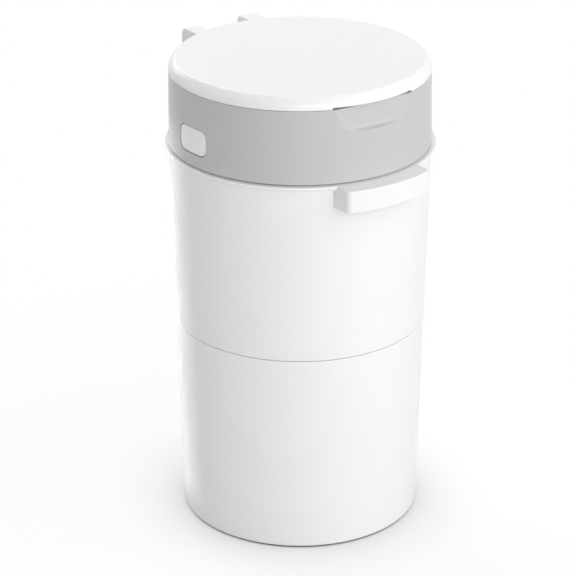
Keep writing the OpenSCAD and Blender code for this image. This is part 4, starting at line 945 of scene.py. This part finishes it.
# %% Lid shell with notch and lugs
def front_wedge(inner, outer, half_angle, low, high, soft=0.0):
    """A wedge of a ring in front of the axis, with its two upright ends' top edges softened."""
    bm = bmesh.new()
    steps = 40
    for radius in (inner, outer):
        bm.verts.new((radius * MM * math.sin(math.radians(-half_angle)),
                      -radius * MM * math.cos(math.radians(half_angle)), low * MM))
    bm.verts.ensure_lookup_table()
    bm.edges.new(bm.verts)
    bmesh.ops.spin(bm, geom=bm.verts[:] + bm.edges[:], cent=(0, 0, 0), axis=(0, 0, 1), dvec=(0, 0, 0),
                   angle=math.radians(2 * half_angle), steps=steps, use_merge=False,
                   use_normal_flip=False, use_duplicate=False)
    made = bmesh.ops.extrude_face_region(bm, geom=bm.faces[:])
    bmesh.ops.translate(bm, verts=[v for v in made["geom"] if isinstance(v, bmesh.types.BMVert)],
                        vec=(0, 0, (high - low) * MM))
    tidied(bm)
    if soft:
        slope = math.tan(math.radians(half_angle))
        ends = [e for e in bm.edges if all(abs(v.co.z - high * MM) < 1e-6 and
                abs(abs(v.co.x) + v.co.y * slope) < 1e-5 for v in e.verts)]
        bmesh.ops.bevel(bm, geom=ends, offset=soft * MM, offset_type="OFFSET", segments=4, profile=0.5,
                        affect="EDGES", clamp_overlap=True, material=-1)
    return bm


strip = front_wedge(well_r, 124.6, 23.0, 459.0, 461.4)
notch = front_wedge(well_r - 0.2, 132.0, 21.0, 455.0, 459.0, soft=1.4)
for part in (strip, notch):
    bmesh.ops.rotate(part, cent=(0, 0, 0), matrix=recess_turn, verts=part.verts[:])
cap = combined(cap, strip, "UNION")
cap = combined(cap, notch, "DIFFERENCE")
lug = pushed([
    (112.3, lid_top_z - 2.4, 0), (116.3, lid_z, 0), (124.0, lid_z, 0.5), (124.0, 442.5, 7.49), (139.0, 442.5, 7.49),
    (139.0, lid_top_z - 0.5, 6.5), (112.3, lid_top_z - 0.5, 0)], 24.9, 41.5, soft=1.0, segments=10)
cap = combined(cap, mirrored_copy(lug, 0), "UNION")
cap = combined(cap, lug, "UNION")
finish_piece(cap, "lid_cap", "lid", lid_white, "white_lid", "lid_shell")

# %% [markdown]
# ## Trap
# Under the lid a white funnel leads into the throat, which two half-moon flaps close from below. Each flap
# turns on a thin steel pin between two ears and is held up by a torsion spring.

# %% Funnel
funnel = turned([
    (76, 399.8, 0.3), (86, 399.8, 0.6), (86, 402.2, 0.8), (78.4, 402.2, 1.0), (78.4, 427.2, 2.0),
    (101, 447.2, 1.0), (103, 448.2, 0.3), (113.4, 448.2, 0.4), (113.4, 450.6, 0.7), (100, 450.6, 1.4),
    (98, 449.6, 1.0), (77.5, 429.7, 4.0), (76, 427.2, 1.2)], steps=288)
ledges = combined(disc(77, 399.8, 402.2), block((-90, -67, 398), (90, 67, 404)), "DIFFERENCE")
funnel = combined(funnel, ledges, "UNION")
for y_sign in (-1, 1):
    for x in (30, -34):
        ear = pushed([(70, 389.3, 3.99), (78, 389.3, 3.99), (78, 400.5, 0), (71.8, 400.5, 0), (71.8, 397.0, 0.8),
                      (70, 395.4, 0.8)], x, x + 4, soft=0.4, segments=8)
        funnel = combined(funnel, ear if y_sign > 0 else mirrored_copy(ear, 1), "UNION")
    funnel = combined(funnel, rod(1.65, -40, 40, y_sign * 74, 393.3, 0), "DIFFERENCE")
finish_piece(funnel, "throat_funnel_cone", "head", inner_white, "inner_white", "throat_funnel")
finish_piece(packed_copy("throat_seal", 0.35), "throat_ring_seal", "head", seal_rubber, "seal_rubber",
             "throat_seal")

# %% Wire springs
def wire(points, radius):
    """A round wire along points in mm, as a closed mesh."""
    curve = bpy.data.curves.new("holder", "CURVE")
    curve.dimensions = "3D"
    curve.bevel_depth = radius * MM
    curve.bevel_resolution = 3
    curve.use_fill_caps = True
    spline = curve.splines.new("POLY")
    spline.points.add(len(points) - 1)
    for target, point in zip(spline.points, points):
        target.co = (point[0] * MM, point[1] * MM, point[2] * MM, 1)
    holder = bpy.data.objects.new("holder", curve)
    bpy.context.scene.collection.objects.link(holder)
    done = holder.evaluated_get(bpy.context.evaluated_depsgraph_get())
    bm = bmesh.new()
    bm.from_mesh(done.to_mesh())
    done.to_mesh_clear()
    bpy.data.objects.remove(holder)
    bpy.data.curves.remove(curve)
    return tidied(bm)


def coil(radius, length, turns, start=0.0, per_turn=28):
    """Points of a coil along X that starts at its lowest point."""
    count = turns * per_turn
    return [(start + length * k / count, radius * math.sin(math.tau * k / per_turn),
             -radius * math.cos(math.tau * k / per_turn)) for k in range(count + 1)]


# %% Flaps with their pins and springs
flap_spring = [(-6.95, -14, 0.2), (-6.9, -10, -0.6), (-6.85, -7, -1.2), (-6.8, -3, -2.3)]
flap_spring += coil(2.75, 13.5, 9, -6.75) + [(6.8, 2.4, -2.3), (6.85, 4.0, -1.6), (6.9, 4.8, 0.5), (6.95, 5.2, 4.6)]
for end, sign in (("front", -1), ("rear", 1)):
    finish_piece(packed_copy(end + "_flap", 0.35), end + "_flap_plate", end + "_flap", flap_grey, "flap_grey",
                 end + "_flap")
    pin = rod(1.6, -34.5, 34.5, sign * 74, 393.3)
    finish_piece(pin, end + "_flap_rod", "head", pin_steel, "pin_steel", end + "_flap_pin")
    spring = placed(wire(flap_spring, 0.45), at(0, 74, 393.3))
    if sign < 0:
        spring = mirrored_copy(spring, 1)
    finish_piece(spring, end + "_flap_coil", "head", spring_steel, "spring_steel", end + "_flap_spring")

# %% [markdown]
# ## Latches behind the buttons
# Behind each button a plate carries an arm that reaches down through the ring. Its nose holds under a rib of
# the body, and a coil spring behind the plate pushes button and latch outwards.

# %% Latches and button springs
for side, sign in (("left", -1), ("right", 1)):
    arm = placed(pushed([
        (112.1, 362.8, 0.5), (116.7, 362.8, 0.5), (118.7, 365.1, 0.3), (118.7, 366.3, 0.3), (116.1, 366.3, 0.5),
        (116.1, 394.9, 0.5), (117.85, 394.9, 0), (117.85, 398.9, 0), (116.1, 398.9, 0), (116.1, 400.9, 0),
        (112.1, 400.9, 0.6)], -9, 9, soft=0.4), about(-90, "Z"))
    plate = rounded_block(button_w + 6, button_h + 6, 8.0, [(115.65, 0), (117.85, 0)])
    rims = [e for e in plate.edges if abs(e.verts[0].co.x - e.verts[1].co.x) < 0.01 * MM]
    bmesh.ops.bevel(plate, geom=rims, offset=0.5 * MM, offset_type="OFFSET", segments=3, profile=0.5,
                    affect="EDGES", clamp_overlap=True, material=-1)
    latch = combined(plate, arm, "UNION")
    latch = combined(latch, rod(3.1, 112.65, 116.0, z=button_z, soft=0.5), "UNION")
    spring = placed(wire(coil(4.15, 12.8, 6), 0.45), at(101.9, 0, button_z) @ about(180, "X"))
    if sign < 0:
        latch, spring = mirrored_copy(latch, 0), mirrored_copy(spring, 0)
    finish_piece(latch, side + "_latch_arm", side + "_button", latch_grey, "latch_grey", side + "_latch")
    coil_piece = finish_piece(spring, side + "_button_coil", "head", spring_steel, "spring_steel",
                              side + "_button_spring")
    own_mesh(coil_piece)

# %% [markdown]
# ## Lid's inner side
# A white liner closes the lid from below. Six stakes hold it, and a rubber ring in its rim closes on the
# funnel.

# %% Liner, seal and lid pin
liner = turned([
    (0, 453.5, 0), (101.6, 453.5, 0.3), (101.6, 452.1, 0.4), (102.9, 452.1, 0.3), (102.9, 453.5, 0.2),
    (112.3, 453.5, 0.6), (112.3, 455.7, 0.8), (0, 455.7, 0)], steps=288)
for sixth in range(6):
    stake = turned([(0, 452.6, 0), (3.2, 452.6, 0.7), (3.6, 453.9, 0), (0, 453.9, 0)], steps=64)
    liner = combined(liner, placed(stake, about(30 + 60 * sixth, "Z") @ at(88, 0, 0)), "UNION")
finish_piece(liner, "lid_liner_plate", "lid", inner_white, "inner_white", "lid_liner")
lid_ring = turned([
    (103, 453.5, 0.2), (103, 452.1, 0.5), (105.5, 450.9, 0.6), (107.5, 450.9, 0.6), (110, 452.1, 0.5),
    (110, 453.5, 0.2)], steps=288)
finish_piece(lid_ring, "lid_ring_seal", "lid", seal_rubber, "seal_rubber", "lid_seal")
finish_piece(rod(2.2, -38.2, 38.2, 131.5, 450.0), "lid_pin_rod", "head", pin_steel, "pin_steel",
             "lid_hinge_pin")

# %% [markdown]
# ## Inside the body
# The bag is folded over a loose ring, which stands on a seat below the rim. Seals sit in the seam and round
# the head's skirt.

# %% Bag ring, seat, seals and feet
seat = turned([
    (105.45, 332.6, 0.8), (107.85, 332.6, 0.8), (107.85, 336.2, 1.4), (120.05, 336.2, 1.0),
    (120.05, 326.6, 0.5), (122.45, 326.6, 0.5), (122.45, 338.6, 0.9), (105.45, 338.6, 1.2)])
finish_piece(seat, "bag_ring_seat_channel", "bin_body", inner_white, "inner_white", "bag_ring_seat")
bag_ring = turned([
    (102.45, 338.6, 0.8), (117.45, 338.6, 0.8), (117.45, 340.8, 0.9), (104.65, 340.8, 1.6),
    (104.65, 350.6, 0.6), (106.65, 352.1, 0.5), (106.65, 353.6, 0.9), (102.45, 353.6, 0.9)])
grip_cut = pushed([(-14, 343.8, 5), (14, 343.8, 5), (14, 360, 0), (-14, 360, 0)], 100.4, 108.5)
bag_ring = combined(bag_ring, together(mirrored_copy(grip_cut, 0), grip_cut), "DIFFERENCE")
finish_piece(bag_ring, "bag_ring_hoop", "bin_body", inner_grey, "inner_grey", "bag_ring")
seam_ring = turned([(118.36, 199.95, 0.4), (119.7, 199.95, 0.5), (119.7, 201.95, 0.5), (118.36, 201.95, 0.4)])
finish_piece(seam_ring, "seam_ring_seal", "bin_body", seal_rubber, "seal_rubber", "body_seal")
skirt_ring = turned([
    (121.82, 376.5, 0.2), (123.0, 376.5, 0.3), (123.6, 377.1, 0.2), (122.9, 377.8, 0.2), (123.6, 378.4, 0.2),
    (122.9, 379.1, 0.2), (123.6, 379.6, 0.2), (123.2, 380.0, 0.1), (121.82, 380.0, 0.2)], segments=3)
finish_piece(skirt_ring, "skirt_ring_seal", "head", seal_rubber, "seal_rubber", "rim_seal")
feet = bmesh.new()
for quarter in range(4):
    pad = turned([
        (0, 0, 0), (2.2, 0, 0.15), (2.6, 0.5, 0.15), (3.4, 0.5, 0.15), (3.8, 0, 0.15), (5.0, 0, 0.15),
        (5.4, 0.5, 0.15), (6.1, 0.5, 0.15), (6.4, 0, 0.15), (7.1, 0, 0.1), (7.5, 0.4, 0.2), (7.5, 2.2, 0.1),
        (0, 2.2, 0)], steps=64, segments=3)
    feet = together(feet, placed(pad, about(45 + 90 * quarter, "Z") @ at(107.5, 0, 0)))
finish_piece(feet, "foot_pads", "bin_body", foot_rubber, "foot_rubber", "grip_feet")

# %% [markdown]
# ## Hinge of the head
# A bracket screwed to the rear wall holds the ring's knuckle between two ears. The pin has a head at its
# left end and a push-on retainer at its right end.

# %% Bracket, pin and retainer
bracket = turned([(126.0, 348.3, 0), (129.9, 348.3, 1.0), (129.9, 370.3, 1.0), (126.0, 370.3, 0)])
bracket = combined(bracket, block((-40, 60, 340), (40, 150, 380)), "INTERSECT")
for x in (28.5, -40):
    ear = pushed([
        (114.6, 348.3, 0), (130.6, 348.3, 2.0), (147.5, 375.9, 2.5), (147.5, 386.9, 7.99), (131.5, 386.9, 7.99),
        (131.5, 378.9, 1.5), (114.6, 370.3, 0)], x, x + 11.5, soft=0.8, segments=10)
    bracket = combined(bracket, ear, "UNION")
cuts = together(disc(126.9, 340, 390), rod(3.05, -42, 42, 139.5, 378.9, 0))
bracket = combined(bracket, cuts, "DIFFERENCE")
for x in (-14, 14):
    sink = turned([(0, -4, 0), (1.65, -4, 0), (1.65, 1.2, 0), (3.5, 1.2, 0), (3.5, 9, 0), (0, 9, 0)], steps=64)
    bracket = combined(bracket, placed(sink, screw_place(x)), "DIFFERENCE")
finish_piece(bracket, "rear_hinge_bracket", "bin_body", bracket_grey, "bracket_grey", "hinge_bracket")
hinge_pin = bored_rod([
    (0, -41.8, 0), (4.8, -41.8, 0.6), (4.8, -40.3, 0.3), (3, -40.3, 0), (3, 42.6, 0.7), (0, 42.6, 0)],
    139.5, 378.9, 64)
finish_piece(hinge_pin, "head_pin_rod", "bin_body", pin_steel, "pin_steel", "head_hinge_pin")
retainer = bored_rod([(3.05, 40.3, 0.2), (4.8, 40.3, 0.3), (4.8, 41.8, 0.5), (3.05, 41.8, 0.2)], 139.5, 378.9, 64)
finish_piece(retainer, "pin_retainer_cap", "bin_body", seal_rubber, "seal_rubber", "pin_retainer")

# %% Screws with cross recesses
def screw(shank):
    """A screw with a domed head and a cross recess. Z points out of its seat."""
    head = turned([
        (0, -shank, 0), (0.9, -shank, 0), (1.6, 1.2 - shank, 0), (1.6, 0, 0), (3.2, 0, 0.15), (3.2, 0.7, 0.2),
        (2.6, 1.4, 0.8), (1.2, 1.8, 0.4), (0, 1.8, 0)], steps=48, segments=4)
    for long_way, short_way in ((1.8, 0.35), (0.35, 1.8)):
        head = combined(head, block((-long_way, -short_way, 0.6), (long_way, short_way, 2.5), 0.1), "DIFFERENCE")
    return head


pair = together(*(placed(screw(5.8), screw_place(x, 1.2) @ about(25, "Z")) for x in (-14, 14)))
finish_piece(pair, "bracket_screw_pair", "bin_body", screw_steel, "screw_steel", "bracket_screws")
four = together(*(placed(screw(16.2), about(45 + 90 * k, "Z") @ at(111, 0, ring_z) @ about(180, "X"))
                  for k in range(4)))
finish_piece(four, "head_screw_set", "head", screw_steel, "screw_steel", "head_screws")
